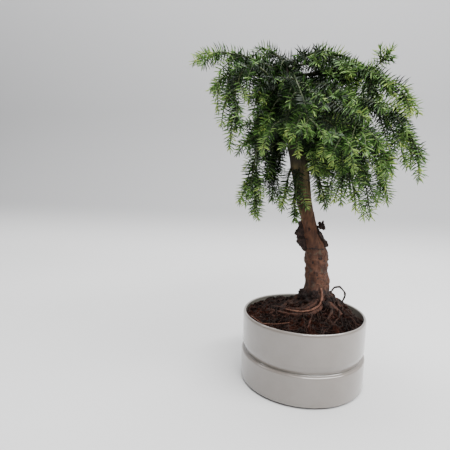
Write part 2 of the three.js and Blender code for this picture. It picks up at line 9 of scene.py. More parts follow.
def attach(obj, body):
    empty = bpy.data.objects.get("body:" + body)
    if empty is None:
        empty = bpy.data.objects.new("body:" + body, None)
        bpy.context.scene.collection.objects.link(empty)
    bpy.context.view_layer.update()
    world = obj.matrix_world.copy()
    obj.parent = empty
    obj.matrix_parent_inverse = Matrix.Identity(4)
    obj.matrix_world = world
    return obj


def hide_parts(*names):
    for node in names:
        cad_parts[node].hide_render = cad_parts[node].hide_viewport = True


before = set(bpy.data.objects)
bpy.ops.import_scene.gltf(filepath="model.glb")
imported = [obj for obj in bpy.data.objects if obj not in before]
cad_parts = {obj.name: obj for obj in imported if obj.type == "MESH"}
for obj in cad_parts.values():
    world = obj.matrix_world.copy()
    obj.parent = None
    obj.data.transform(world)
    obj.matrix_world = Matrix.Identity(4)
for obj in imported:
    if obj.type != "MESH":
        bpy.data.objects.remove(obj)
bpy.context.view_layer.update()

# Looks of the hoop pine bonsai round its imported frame: bark, roots, soil, glazed pot and needled crown.
# Sizes are in millimetres and become metres where a mesh is made.

MM = 0.001
UP = np.array((0.0, 0.0, 1.0))
GOLDEN_TURN = math.radians(137.508)
SEEDS = dict(crumbs=5, fine_roots=12, trunk_twigs=77, shoots=1000)

# Pot, soil and trunk

POT = dict(radius=75.4, lower_radius=76.1, height=85.4, wall=3.6, wall_grows=6, floor=6, sectors=192,
           groove_height=37.4, groove_depth=3.3, groove_width=1.2, undercut=0.3, shoulder_round=2.4,
           swell_power=1.15, body_full_height=49)
INSIDE = POT["radius"] - POT["wall"]
FOOT_RING = dict(inside=20, outside=9, height=2.2, round=0.7)
RIM = dict(outer=1.9, outer_drop=4.2, inner_drop=1.5)
SOIL = dict(edge_height=80, mound_height=27, mound_spread=46, crumb=0.9)
HOLLOW = dict(towards=32, away=72, depth=10, spread=30)
SOIL_GRID = dict(rings=118, sectors=420, clearance=0.3, middle=0.004, crowding=0.9)

# Height, place and radius of the trunk, from the soil to the tip inside the crown
TRUNK_STATIONS = np.array([
    (98, 16.5, 0, 17.2), (112, 15.2, 0, 14.8), (125, 14.6, 0, 13.7), (157, 12.9, 0, 13.2),
    (168, 11.1, 0, 12.1), (182, 5.8, 0, 10.3), (200, 0.6, 0, 8.9), (221, -4.9, 0, 9.2),
    (263, -12.9, 0, 10.3), (278, -15.6, 0, 10.4), (300, -22.5, 1, 7.4), (332, -27.5, 3, 5.6),
    (352, -30, 5, 4.6), (374, -33, 8, 3.5), (388, -35, 10, 2.4),
], float)
FOOT_Z, TOP_Z = TRUNK_STATIONS[0, 0], TRUNK_STATIONS[-1, 0]
FOOT = TRUNK_STATIONS[0, 1:3]
COLUMNS = dict(x=1, y=2, radius=3)
TRUNK_GRID = dict(rings=520, sectors=150, sunk=6)

# Where the rough old bark ends under the smooth younger one
SEAM_Z = 167.5

# Heading in degrees and reach of each buttress of the root flare
BUTTRESSES = ((5, 6), (68, 4), (118, 5), (182, 10), (238, 5), (292, 5))
FLARE = dict(top=126, width=34)

# Knobs and dents of the trunk: height, heading, how far it stands out, and its size up and round
KNOBS = (
    (151, 176, 2.2, 4, 16), (157, 4, 1.8, 5, 18), (147, 356, 1.4, 3, 14), (139, 250, 0.9, 5, 15),
    (128, 300, 1.2, 4, 16), (108, 205, 2.6, 4, 20), (109, 180, 3.2, 4, 18), (163, 225, 1.0, 3, 22),
    (160, 320, 1.1, 3, 20), (133, 185, 1.0, 4, 14), (129, 358, 1.2, 5, 14), (190, 262, -0.7, 3, 16),
    (143, 285, -0.8, 3, 14), (215, 300, 0.8, 4, 16), (236, 250, 0.9, 5, 18), (258, 290, 1.1, 5, 20),
)

# Crusts of dead bark at the waist: heading, low, high, width, seed, and how far they stand out going up
CRUSTS = (
    (184, 162, 199, 66, 1, (1.6, 4.4, 9.4, 9.0, 7.4, 6.4, 8.8, 5.6, 3.6, 2.6)),
    (352, 169, 192, 54, 2, (1.4, 3.4, 4.2, 3.8, 3.0, 2.4, 1.8, 1.4)),
    (140, 164, 188, 44, 3, (1.2, 3.0, 3.6, 2.6, 3.4, 1.6)),
    (60, 165, 190, 52, 4, (1.4, 3.4, 4.4, 3.2, 2.4, 1.2)),
    (102, 162, 182, 40, 5, (1.0, 2.8, 2.2, 3.0, 1.4)),
)
CRUST_GRID = dict(rows=60, columns=44, sunk=1.2, wall=0.16)

# The hooked knob over the right crust: heading, height, stand-off and half sizes of its lumps
KNOB_LUMPS = ((357, 194.6, 5.6, 3.9, 4.3), (354, 199.2, 8.2, 1.3, 2.2), (0, 197.4, 4.0, 2.4, 2.2),
              (355, 193.2, 1.4, 2.4, 1.6), (350, 192.4, 7.4, 2.2, 2.6))

# Dark clods of old root and peat at the trunk's foot, and dark scars on its bark: place and half sizes
CLODS = (
    (-3, -3, 112, 3.4, 4, 2.7), (-3.4, -6, 106.5, 4.6, 5, 4.6), (1.5, -10, 108.6, 6, 5, 5.4),
    (6.5, -15, 104.6, 6.5, 5, 5.6), (0.6, -13, 100.6, 7, 5, 4.6), (11, -15.6, 112, 5, 3.6, 4.6),
    (-8.5, -6, 99.6, 5, 5, 3), (27, -14, 106.5, 4, 4.5, 5.5), (32, -6, 104.5, 4.5, 6, 4.5),
    (24.4, -23, 103.4, 4, 3, 4), (40, -3, 100, 5, 6, 3.4),
)
SCARS = (
    (2.5, -9.3, 190.5, 1.3, 0.9, 1.4), (17, -12.3, 156.6, 2.3, 1.0, 1.9), (14, -13.2, 136.4, 2.0, 0.9, 2.6),
    (8.4, -12.1, 151, 1.1, 0.8, 1.6), (-22.5, -5, 294, 5.4, 4.6, 5.8),
)

# Surface roots: heading, turn, height, reach, thick and thin
SURFACE_ROOTS = (
    (268, -62, 106, 47, 2.4, 1), (312, -22, 108, 42, 3.2, 1.2), (338, 14, 108, 40, 2.8, 1),
    (6, 18, 110, 42, 4.2, 1.4), (66, -18, 106, 44, 3.4, 1.2), (116, 22, 107, 46, 3.6, 1.2),
    (182, 16, 108, 48, 4.4, 1.4), (214, -14, 104, 50, 2.8, 1),
)
ROOT = dict(sink=0.35, start_depth=0.72, waver=5, waves=7, leaving=0.31, steps=44)
FINE_ROOTS = dict(count=40, heading=(-6, 6), height=(101, 113), reach=(24, 50), thick=(0.6, 1.7),
                  turn=(-60, 60), thin=0.4)

# The light root in front, others beside it with their thickness, and a pale fibre, corner by corner
LIGHT_ROOT = ((19.4, -14.4, 122.5), (20.8, -16.8, 113), (20.6, -21.5, 105.2), (15.6, -28.2, 100.9),
              (6.6, -32, 97.2), (-3.7, -32.4, 95.3), (-14.3, -28.2, 94.4), (-24.5, -17, 92.4))
FRONT_ROOTS = (
    (2.3, ((22.3, -15.5, 110), (21.4, -25.2, 100.4), (12.3, -34.8, 95.6), (-1.2, -37.3, 92.9),
           (-17.5, -32.4, 90.9), (-38.4, -9.8, 86.6), (-52.9, 6.5, 81.6))),
    (1.9, ((16.6, -16.5, 107.2), (12.1, -23.8, 101.6), (1.9, -29.1, 98), (-9.8, -25.6, 95.5),
           (-28.5, -12, 92), (-45.6, 10.8, 84.4))),
    (1.2, ((16, -27, 99), (11.1, -31.4, 97.4), (9.1, -41.4, 92.7), (6.1, -54, 86.2), (5, -60, 83))),
    (2.6, ((24, -14, 110), (31, -16, 103.5), (40, -20, 96), (50, -24, 88), (58, -27, 81))),
    (2.2, ((27, -8, 109), (36, -8, 103), (46, -9, 95.5), (57, -8, 86), (63, -8, 80))),
)
PALE_FIBRE = ((-62, -33, 85.2), (-52, -50, 86.8), (-44.8, -60, 87.2), (-29.8, -51, 84.6),
              (-14.2, -48.8, 87.4))

# The wiry root that stands up in a loop, corner by corner
ROOT_LOOP = ((30.5, 0, 104), (31.9, 0, 113), (36, 0.5, 119.3), (42.3, 1, 120.7), (48.7, 2, 113.5),
             (49.6, 2.5, 109.2), (46.3, 3, 100.4), (44.5, 3, 96))

# Sides, steps and roughness of the roots, and the window that rounds their corners
ROOT_TUBES = dict(surface=(14, 90, 0.28), fine=(8, 60, 0.3), front=(12, 80, 0.26), light=(12, 90, 0.24),
                  pale=(6, 40, 0.2), wiry=(8, 90, 0.3))
ROUNDING = dict(front=11, pale=5, wiry=3)

# Dark and light colours of roots, fibres and peat
ROOT_COLOURS = dict(
    old_root=((0.004, 0.002, 0.0015), (0.042, 0.019, 0.012)),
    brown_root=((0.008, 0.0035, 0.0025), (0.075, 0.031, 0.02)),
    light_root=((0.05, 0.02, 0.014), (0.19, 0.092, 0.062)),
    dark_wiry_root=((0.009, 0.006, 0.005), (0.03, 0.02, 0.016)),
    red_fibre=((0.012, 0.005, 0.0035), (0.05, 0.021, 0.014)),
    peat_clod=((0.0015, 0.001, 0.0008), (0.018, 0.008, 0.0058)),
)

# Loose things on the soil
FIBRES = dict(
    dark_fibres=dict(seed=21, bark="dark_wiry_root", count=420, length=(8, 26), thick=(0.2, 0.5), lift=2.0),
    red_fibres=dict(seed=22, bark="red_fibre", count=330, length=(8, 34), thick=(0.2, 0.55), lift=2.2),
)
STRAND = dict(steps=12, wander=16, off_wall=2, above=0.1, sides=4, thin=0.45, out_to=0.94)
CRUMBS = dict(count=850, out_to=0.95, size=(0.7, 1.3), larger=1.6, squash=(0.5, 1.1), rough=0.35, above=0.35)

# Crown: name, height, heading, reach, tip, arch, sweep, hang, habit and tone; a lower tone deals darker
# greens, partly as painted shade
SHOOTS = (
    ("left_top", 372, 178, 113, 395, 40, 0, 0.82, "arching", 1),
    ("left_high", 366, 192, 93, 354, 35, -12, 0.54, "arching", 0.5),
    ("left_back_top", 384, 152, 55, 396, 39, 0, 0.88, "bare", 0.2),
    ("left_middle", 325, 214, 71, 304, 85, 25, 1.16, "arching", 0.1),
    ("left_hanging", 343, 186, 38, 210, 41, 9, 0.95, "hanging", 0.3),
    ("left_hanging_front", 341, 210, 50, 227, 39, -11, 0.55, "hanging", 0.3),
    ("left_hanging_back", 307, 150, 27, 222, 38, -20, 1.1, "weeping", -0.2),
    ("beside_trunk", 268, 262, 15, 208, 4, -45, 0.9, "bare", 0.3),
    ("left_of_trunk", 266, 200, 15, 232, 3, 0, 0.9, "bare", 0.5),
    ("front_left", 312, 245, 68, 278, 13, -70, 0.8, "plain", 1.3),
    ("front_short", 299, 276, 60, 274, 10, -50, 0.9, "plain", 1.2),
    ("front_high", 351, 283, 112, 290, 17, 8, 0.6, "arching", -1.1),
    ("right_hanging_back", 296, 30, 40, 224, 28, 4, 0.6, "plain", 0.7),
    ("back_right_low", 312, 42, 69, 222, 46, 18, 1.1, "weeping", 0.2),
    ("right_hanging_front", 344, 327, 76, 224, 32, -4, 1.15, "weeping", 0.4),
    ("front_right_low", 317, 324, 92, 219, 6, -1, 0.77, "weeping", 0.2),
    ("right_low", 311, 348, 96, 209, 23, -8, 0.78, "weeping", 0.1),
    ("right_back_outer", 304, 20, 128, 222, 50, -18, 0.72, "outer", -0.5),
    ("right_front_outer", 328, 336, 121, 257, 1, -2, 0.77, "outer", -0.1),
    ("back_right_outer", 352, 13, 146, 274, 2, -5, 0.86, "arching", -1.2),
    ("right_outer", 338, 347, 146, 263, 14, -5, 0.9, "outer", -0.4),
    ("right_high", 367, 358, 141, 329, 22, 3, 0.82, "outer", 0),
    ("right_upturned", 375, 7, 115, 401, -1, -1, 1.02, "arching", 0.5),
    ("right_top", 386, 350, 84, 377, 16, 8, 0.42, "arching", 0.9),
    ("front_right_high", 338, 311, 123, 284, 8, 18, 0.64, "arching", -0.9),
    ("front_right", 323, 302, 125, 275, -6, -4, 0.69, "arching", -0.7),
    ("back", 345, 81, 115, 285, 43, 10, 0.75, "arching", -0.4),
    ("back_left", 338, 120, 102, 262, 48, 10, 0.75, "weeping", -0.4),
    ("back_right", 327, 52, 128, 255, 50, 8, 0.75, "arching", -0.4),
    ("back_top", 381, 30, 127, 348, 30, -4, 0.97, "arching", -0.1),
)
ROUTE = dict(steps=48, first_pull=0.38, first_lift=0.75, waver=2.4, waves=9)
BOUGH = dict(start=0.15, share=0.3, overlap=0.005, per_trunk=0.38, extra=0.8, thickest=2.3, end=0.62,
             power=1.6, bare=1.5, stem_tone=0.5)
SIDE_TWIGS = dict(
    arching=dict(spacing=46, first=0.3, last=0.86, spread=52, fine=(0.05, 0.93)),
    weeping=dict(spacing=32, first=0.45, last=0.9, spread=34, fine=(0.03, 0.66)),
    outer=dict(spacing=32, first=0.45, last=0.9, spread=34, fine=(0.03, 0.88)),
    hanging=dict(spacing=32, first=0.66, last=0.92, spread=30, fine=(0.62, 0.9)),
    plain=dict(spacing=90, first=0.25, last=0.5, spread=36, fine=(0, 0.5)),
    bare=dict(spacing=90, first=0.25, last=0.5, spread=30, fine=(0, 0.4)),
)
TWIG_BEND = dict(straight=0.5, out=0.9, climb=0.35, droop=0.24, fine_droop=0.38)
SIDE_TWIG = dict(share=0.03, spread=10, tilt=35, usual=36, length=(0.75, 1.15), at_start=1.1,
                 lost_to_end=0.35)

# Finer twigs between the side twigs, and short ones straight on the trunk
FINE_TWIG = dict(spacing=9.5, length=36, closer=6, place=(0.2, 0.8), spread=(-10, 10), tilt=(-75, 75),
                 varies=(0.6, 1.15), at_start=1.1, lost_to_end=0.45)
TRUNK_TWIG = dict(count=92, low=288, high=387, reach=(30, 70), rise=14, drop=46, short_top=0.35, depth=0.6,
                  open_front=(230, 312), open_low=342, open_right=(-40, 70), open_high=364)

# Twigs in leaf: thick and thin, sides and steps, bare start, tone and needle size, and for those over a
# length the small twigs on them: their kind, spacing, first and last place, length and spread
LEAFY = dict(
    shoot=dict(wood=(0.95, 0.45), grid=(5, 10), bare=2.5, tone=0, scale=1, over=26, small="shoot_small",
               rule=(38, 0.3, 0.8, 24, 42)),
    trunk=dict(wood=(1.3, 0.5), grid=(6, 16), bare=4, tone=0.2, scale=0.9, over=0, small="trunk_small",
               rule=(14, 0.25, 0.85, 24, 46)),
    shoot_small=dict(wood=(0.6, 0.35), grid=(4, 6), bare=2, tone=-0.3, scale=0.92, over=math.inf),
    trunk_small=dict(wood=(0.7, 0.4), grid=(4, 6), bare=2, tone=0, scale=0.85, over=math.inf),
)
NEEDLE = dict(length=13, thick=0.66, gap=1.0, end_gap=0.7, end=9, turn=90.6, lean=70, tip_lean=22, curl=0.08,
              tip_short=0.42, front_short=0.3, under=-0.35, to_front=-0.5, darker=0.22, lighter=0.2,
              most_in_piece=19000)

# Twigs that hang from a shoot where it is dense: share of its route, heading, reach, drop and tone; a lower
# tone is partly painted shade
PLACED_TWIGS = {
    "left_high": (
        (0.55, 200, 10, 42, 0), (0.42, 230, 8, 48, 0.6), (0.66, 190, 8, 38, 0.2), (0.3, 220, 8, 36, -0.5),
        (0.14, 260, 12, 10, -1)),
    "left_top": (
        (0.5, 185, 12, 44, 0), (0.38, 200, 10, 36, -0.5), (0.1, 240, 14, 8, -1), (0.2, 280, 14, 10, -1)),
    "left_middle": ((0.9, 190, 5, 38, 0.2), (0.8, 250, 8, 46, 0.6), (0.72, 195, 16, 40, 0)),
    "front_high": (
        (0.35, 200, 14, 8, -1.6), (0.5, 350, 14, 10, -1.4), (0.62, 200, 12, 12, -1.2),
        (0.7, 350, 10, 12, -1.2)),
    "right_top": (
        (0.1, 230, 16, 8, -1), (0.19, 300, 16, 8, -0.8), (0.28, 240, 18, 8, -0.7), (0.37, 310, 18, 6, -0.5),
        (0.48, 240, 16, 8, -0.5)),
    "back_top": ((0.1, 260, 14, 6, -1.2), (0.2, 300, 14, 6, -1.2), (0.32, 260, 16, 6, -1.2)),
    "right_upturned": (
        (0.2, 350, 8, 26, -1.4), (0.3, 330, 8, 34, -1.3), (0.42, 350, 8, 40, -0.8), (0.56, 340, 8, 34, -0.3),
        (0.88, 190, 2, -17, 0.8), (0.93, 350, 7, -12, 0.9), (0.86, 300, 10, -8, 0.8)),
    "right_high": (
        (0.33, 200, 5, 38, -1.1), (0.42, 230, 8, 44, -0.4), (0.52, 200, 12, 34, -0.4),
        (0.61, 190, 5, 42, -0.1)),
    "back_right_outer": ((0.2, 200, 8, 26, -1.4), (0.35, 200, 8, 30, -1.1), (0.5, 200, 8, 30, -0.6)),
}

# Twigs that hang close beside the trunk: height, heading, reach, drop and tone
TRUNK_STRANDS = (
    (262, 350, 26, 44, 0.2), (260, 260, 15, 58, 0.2), (298, 315, 34, 40, 0.5), (288, 335, 34, 34, 0.3))
HANGING_LIFT = dict(share=0.7, rise=6)

# Twigs grow lighter along their shoot: change at its start, and added to that by its end
TONE_SHIFT = (-0.2, 0.8)

# Needle greens, from the shaded inside of the crown out to the newest tips
NEEDLE_GREENS = dict(
    deep=(0.003, 0.012, 0.001),
    dark=(0.0155, 0.046, 0.006),
    mid=(0.066, 0.14, 0.028),
    fresh=(0.155, 0.25, 0.066),
    tip=(0.28, 0.375, 0.082),
)
SHADES = tuple(NEEDLE_GREENS)

# Greens of a twig from its tip back, changing at these distances, for sprays of five kinds
SPRAY_ENDS = (6, 15, 28, 50)
SPRAYS = (
    ("tip", "fresh", "fresh", "mid", "dark"),
    ("fresh", "fresh", "mid", "dark", "deep"),
    ("fresh", "mid", "dark", "dark", "deep"),
    ("mid", "dark", "deep", "deep", "deep"),
    ("dark", "deep", "deep", "deep", "deep"),
)
SPRAY_AGE = dict(inside=3.2, lighter_outside=1.9, outside=110, varies=0.75)


# Numbers that repeat each run

def chance_between(low, high, *keys):
    """A number between two others for a set of whole numbers, as in the part"""
    mixed = 2166136261
    for key in keys:
        mixed = ((mixed ^ int(key)) * 2654435761) & 0xFFFFFFFF
        mixed ^= mixed >> 15
        mixed = (mixed * 2246822519) & 0xFFFFFFFF
        mixed ^= mixed >> 13
    return low + (high - low) * (mixed / 4294967296)


def lattice(cells, seed):
    x, y, z = (cells[..., axis].astype(np.int64) for axis in range(3))
    mixed = (x * 374761393 + y * 668265263 + z * 1440662683 + seed * 974634777) & 0xFFFFFFFF
    mixed = ((mixed ^ (mixed >> 13)) * 1274126177) & 0xFFFFFFFF
    mixed ^= mixed >> 16
    return mixed / 2147483648.0 - 1


def lumps(points, size, seed=0):
    """Smooth lumps about this size across, from -1 to 1"""
    place = np.asarray(points, float) / size
    cell = np.floor(place)
    part = place - cell
    part = part ** 3 * (part * (part * 6 - 15) + 10)
    total = np.zeros(place.shape[:-1])
    for corner in itertools.product((0, 1), repeat=3):
        weight = np.prod(np.where(corner, part, 1 - part), axis=-1)
        total += weight * lattice(cell + corner, seed)
    return total


def roughness_of(points, size, seed=0, octaves=4):
    """Lumps with ever smaller lumps on them"""
    return sum(lumps(points, size / 2 ** octave, seed + octave) * 0.5 ** octave for octave in range(octaves))


# Meshes

class Heap:
    """Points and triangles of one piece, gathered bit by bit"""

    def __init__(self):
        self.points = []
        self.faces = []
        self.count = 0

    def add(self, points, faces):
        self.points.append(np.asarray(points, float))
        self.faces.append(np.asarray(faces, int) + self.count)
        self.count += len(points)

    def add_rings(self, rings):
        """A closed form of rings that run anticlockwise seen from the last one's side"""
        count, sectors = rings.shape[:2]
        self.add(rings.reshape(-1, 3), np.concatenate((
            grid_faces(count, sectors), cap_faces(0, sectors)[:, (0, 2, 1)],
            cap_faces((count - 1) * sectors, sectors))))

    def make(self, name, finish, slot, *nodes, smooth=True):
        piece = make_mesh(name, np.concatenate(self.points), np.concatenate(self.faces), finish, smooth)
        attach(piece, "root")
        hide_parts(*nodes)


def put_in_scene(name, data):
    thing = bpy.data.objects.new(name, data)
    bpy.context.scene.collection.objects.link(thing)
    return thing


def make_mesh(name, points, faces, finish, smooth=True):
    mesh = bpy.data.meshes.new(name)
    mesh.from_pydata((points * MM).tolist(), [], faces.tolist(), shade_flat=not smooth)
    mesh.materials.append(finish.material)
    return put_in_scene(name, mesh)


def make_solid(name, rings, finish, slot, *nodes):
    heap = Heap()
    heap.add_rings(rings)
    heap.make(name, finish, slot, *nodes)


def grid_faces(rings, sectors, closed=True):
    here = np.arange((rings - 1) * sectors).reshape(-1, sectors)
    beside = np.roll(here, -1, axis=1)
    if not closed:
        here, beside = here[:, :-1], beside[:, :-1]
    lower = np.stack((here, beside, beside + sectors), -1).reshape(-1, 3)
    upper = np.stack((here, beside + sectors, here + sectors), -1).reshape(-1, 3)
    return np.concatenate((lower, upper))


def cap_faces(first, sectors):
    """A fan of triangles that closes one ring"""
    side = np.arange(1, sectors - 1)
    return np.stack((np.full(len(side), first), first + side, first + side + 1), -1)


def unit(vectors):
    return vectors / np.maximum(np.linalg.norm(vectors, axis=-1, keepdims=True), 1e-9)


def heading(degrees):
    angle = np.radians(degrees)
    return np.stack((np.cos(angle), np.sin(angle), np.zeros_like(angle)), -1)


def headings_round(sectors):
    return heading(np.arange(sectors) * 360 / sectors)


def points_at(places, given, points):
    """Points between those given at some places along a line"""
    return np.stack([np.interp(places, given, points[:, axis]) for axis in range(3)], -1)


class Route:
    """A bent line of points, with places, directions and cross vectors at any distance along it"""

    def __init__(self, points):
        self.points = np.asarray(points, float)
        steps = np.linalg.norm(np.diff(self.points, axis=0), axis=1)
        self.distances = np.concatenate(((0,), np.cumsum(steps)))
        self.length = self.distances[-1]
        self.along = unit(np.gradient(self.points, axis=0))
        across = np.cross(self.along[0], UP if abs(self.along[0, 2]) < 0.9 else (1, 0, 0))
        self.across = np.empty_like(self.points)
        for index, along in enumerate(self.along):
            across = unit(across - along * np.dot(across, along))
            self.across[index] = across

    def place(self, distances):
        return points_at(distances, self.distances, self.points)

    def direction(self, distances):
        return unit(points_at(distances, self.distances, self.along))

    def frames(self, distances):
        along = self.direction(distances)
        across = points_at(distances, self.distances, self.across)
        across = unit(across - along * np.sum(across * along, -1, keepdims=True))
        return self.place(distances), along, across, np.cross(along, across)

    def span(self, start, end, steps=48):
        """The part between two shares of the length"""
        return Route(self.place(np.linspace(start, end, steps + 1) * self.length))


def bow(corners, steps=24):
    """A route from the first corner to the last, pulled towards those between"""
    t = np.linspace(0, 1, steps + 1)[:, None]
    last = len(corners) - 1
    return Route(sum(math.comb(last, index) * (1 - t) ** (last - index) * t ** index * corner
                     for index, corner in enumerate(corners)))


def smoothed(corners, window, spots=64):
    """A route through corners, with each corner a little rounded"""
    corners = np.array(corners, float)
    sharp = points_at(np.linspace(0, len(corners) - 1, spots), np.arange(len(corners)), corners)
    padded = np.pad(sharp, ((window // 2, window // 2), (0, 0)), mode="edge")
    return Route(sum(padded[step:step + spots] for step in range(window)) / window)


def add_tube(heap, route, radius_at, sides, steps, wobble=0.0, seed=0):
    """A limb along a route, closed at both ends; radius_at gives the radius at a share of the length"""
    share = np.linspace(0, 1, steps + 1)
    centre, _, across, over = route.frames(share * route.length)
    angle = np.arange(sides) * 2 * math.pi / sides
    radius = radius_at(share)[:, None]
    out = across[:, None] * np.cos(angle)[None, :, None] + over[:, None] * np.sin(angle)[None, :, None]
    points = centre[:, None] + out * radius[..., None]
    if wobble:
        swell = roughness_of(points, 3.2, seed, 3) * wobble
        points = centre[:, None] + out * (radius * (1 + swell))[..., None]
    heap.add_rings(points)


def taper(thick, thin, power=1.0):
    return lambda share: thin + (thick - thin) * (1 - share) ** power


def blob(rounds):
    """Points and triangles of a small ball to be bent into lumps and crumbs"""
    gold = (1 + 5 ** 0.5) / 2
    points = list(unit(np.array([
        (-1, gold, 0), (1, gold, 0), (-1, -gold, 0), (1, -gold, 0), (0, -1, gold), (0, 1, gold),
        (0, -1, -gold), (0, 1, -gold), (gold, 0, -1), (gold, 0, 1), (-gold, 0, -1), (-gold, 0, 1)], float)))
    faces = [(0, 11, 5), (0, 5, 1), (0, 1, 7), (0, 7, 10), (0, 10, 11), (1, 5, 9), (5, 11, 4), (11, 10, 2),
             (10, 7, 6), (7, 1, 8), (3, 9, 4), (3, 4, 2), (3, 2, 6), (3, 6, 8), (3, 8, 9), (4, 9, 5),
             (2, 4, 11), (6, 2, 10), (8, 6, 7), (9, 8, 1)]
    for _ in range(rounds):
        faces = split_faces(points, faces)
    return np.array(points), np.array(faces)


def split_faces(points, faces):
    """Each triangle of a ball as four, with its new points put on the ball"""
    halves = {}

    def half(a, b):
        key = (min(a, b), max(a, b))
        if key not in halves:
            halves[key] = len(points)
            points.append(unit(points[a] + points[b]))
        return halves[key]

    finer = []
    for a, b, c in faces:
        ab, bc, ca = half(a, b), half(b, c), half(c, a)
        finer += [(a, ab, ca), (b, bc, ab), (c, ca, bc), (ab, bc, ca)]
    return finer


def add_lump(heap, ball, centre, halves, swell):
    points, faces = ball
    heap.add(points * halves * (1 + swell)[:, None] + centre, faces)


# Finishes

class Value:
    """A socket of a finish, on which shader maths reads as Python"""

    def __init__(self, finish, socket):
        self.finish = finish
        self.socket = socket

    def _maths(self, operation, first, second):
        return self.finish.node("ShaderNodeMath", dict(operation=operation), {0: first, 1: second})

    def __add__(self, other):
        return self._maths("ADD", self, other)

    def __sub__(self, other):
        return self._maths("SUBTRACT", self, other)

    def __rsub__(self, other):
        return self._maths("SUBTRACT", other, self)

    def __mul__(self, other):
        return self._maths("MULTIPLY", self, other)

    __radd__ = __add__
    __rmul__ = __mul__


class Finish:
    """A material and the nodes that make it"""

    def __init__(self, name, **shader_values):
        self.material = bpy.data.materials.new(name)
        self.material.use_nodes = True
        self.tree = self.material.node_tree
        self.shader = self.tree.nodes["Principled BSDF"]
        for key, value in shader_values.items():
            self.set(key.replace("_", " ").title().replace("Ior", "IOR"), value)

    def set(self, name, value):
        self._feed(self.shader.inputs[name], value)

    def _feed(self, socket, value):
        if isinstance(value, Value):
            self.tree.links.new(value.socket, socket)
        elif socket.type == "RGBA" and len(value) == 3:
            socket.default_value = (*value, 1)
        else:
            socket.default_value = value

    def node(self, kind, settings=None, inputs=None, output=0):
        made = self.tree.nodes.new(kind)
        for name, value in (settings or {}).items():
            setattr(made, name, value)
        for key, value in (inputs or {}).items():
            self._feed(made.inputs[key], value)
        return Value(self, made.outputs[output])

    def place(self, stretch=(1, 1, 1)):
        """Where a point is on the object, in millimetres, stretched along each axis"""
        spot = self.node("ShaderNodeTexCoord", output=3)
        scale = tuple(part / MM for part in stretch)
        return self.node("ShaderNodeMapping", None, {"Vector": spot, "Scale": scale})

    def height(self):
        return self.node("ShaderNodeSeparateXYZ", None, {0: self.place()}, output=2)

    def noise(self, size, stretch=(1, 1, 1), detail=4.0, rough=0.55, distortion=0.0):
        return self.node("ShaderNodeTexNoise", None, {
            "Vector": self.place(stretch), "Scale": 1 / size, "Detail": detail, "Roughness": rough,
            "Distortion": distortion})

    def rise(self, value, low, high):
        """0 under low, 1 over high, smooth between"""
        return self.node("ShaderNodeMapRange", dict(interpolation_type="SMOOTHSTEP"),
                         {"Value": value, "From Min": low, "From Max": high})

    def mix(self, share, first, second):
        return self.node("ShaderNodeMix", dict(data_type="RGBA"), {0: share, 6: first, 7: second}, output=2)

    def turn(self, value, low, high, first, second):
        """The first colour where a value is low, the second where it is high"""
        return self.mix(self.rise(value, low, high), first, second)

    def bump(self, value, depth):
        """Relief this many millimetres deep"""
        self.set("Normal", self.node("ShaderNodeBump", None, {"Height": value, "Distance": depth * MM}))

    def dress(self, colour, grain, dull, varies, relief=0):
        """Colour, with a dullness and a relief that follow the grain"""
        self.set("Base Color", colour)
        self.set("Roughness", dull + grain * varies)
        if relief:
            self.bump(grain, relief)
        return self


def make_glaze():
    glaze = Finish("warm_grey_glaze", coat_weight=1.0, coat_roughness=0.06, coat_ior=1.7)
    cloud = glaze.noise(22, detail=3)
    grain = glaze.noise(0.7, detail=2)
    colour = glaze.turn(cloud * 0.7 + grain * 0.3, 0.35, 0.65, (0.18, 0.157, 0.137), (0.20, 0.177, 0.157))
    # Painted shade: the glaze inside the pot's wall is darker, in clouds.
    level = glaze.place((1, 1, 0))
    from_axis = glaze.node("ShaderNodeVectorMath", dict(operation="LENGTH"), {0: level}, output=1)
    painted_inside_shade = glaze.mix(cloud, (0.12, 0.115, 0.096), (0.19, 0.18, 0.158))
    colour = glaze.turn(from_axis, INSIDE - 0.1, INSIDE + 0.8, painted_inside_shade, colour)
    # Painted contact shadow: the glaze is near black on the foot ring and the pot's lowest 2.5 mm.
    painted_contact_shadow = (0.022, 0.019, 0.017)
    glaze.dress(glaze.turn(glaze.height(), 2.1, 2.6, painted_contact_shadow, colour), cloud, 0.30, 0.08)
    glaze.bump(glaze.noise(1.6, detail=3), 0.03)
    return glaze


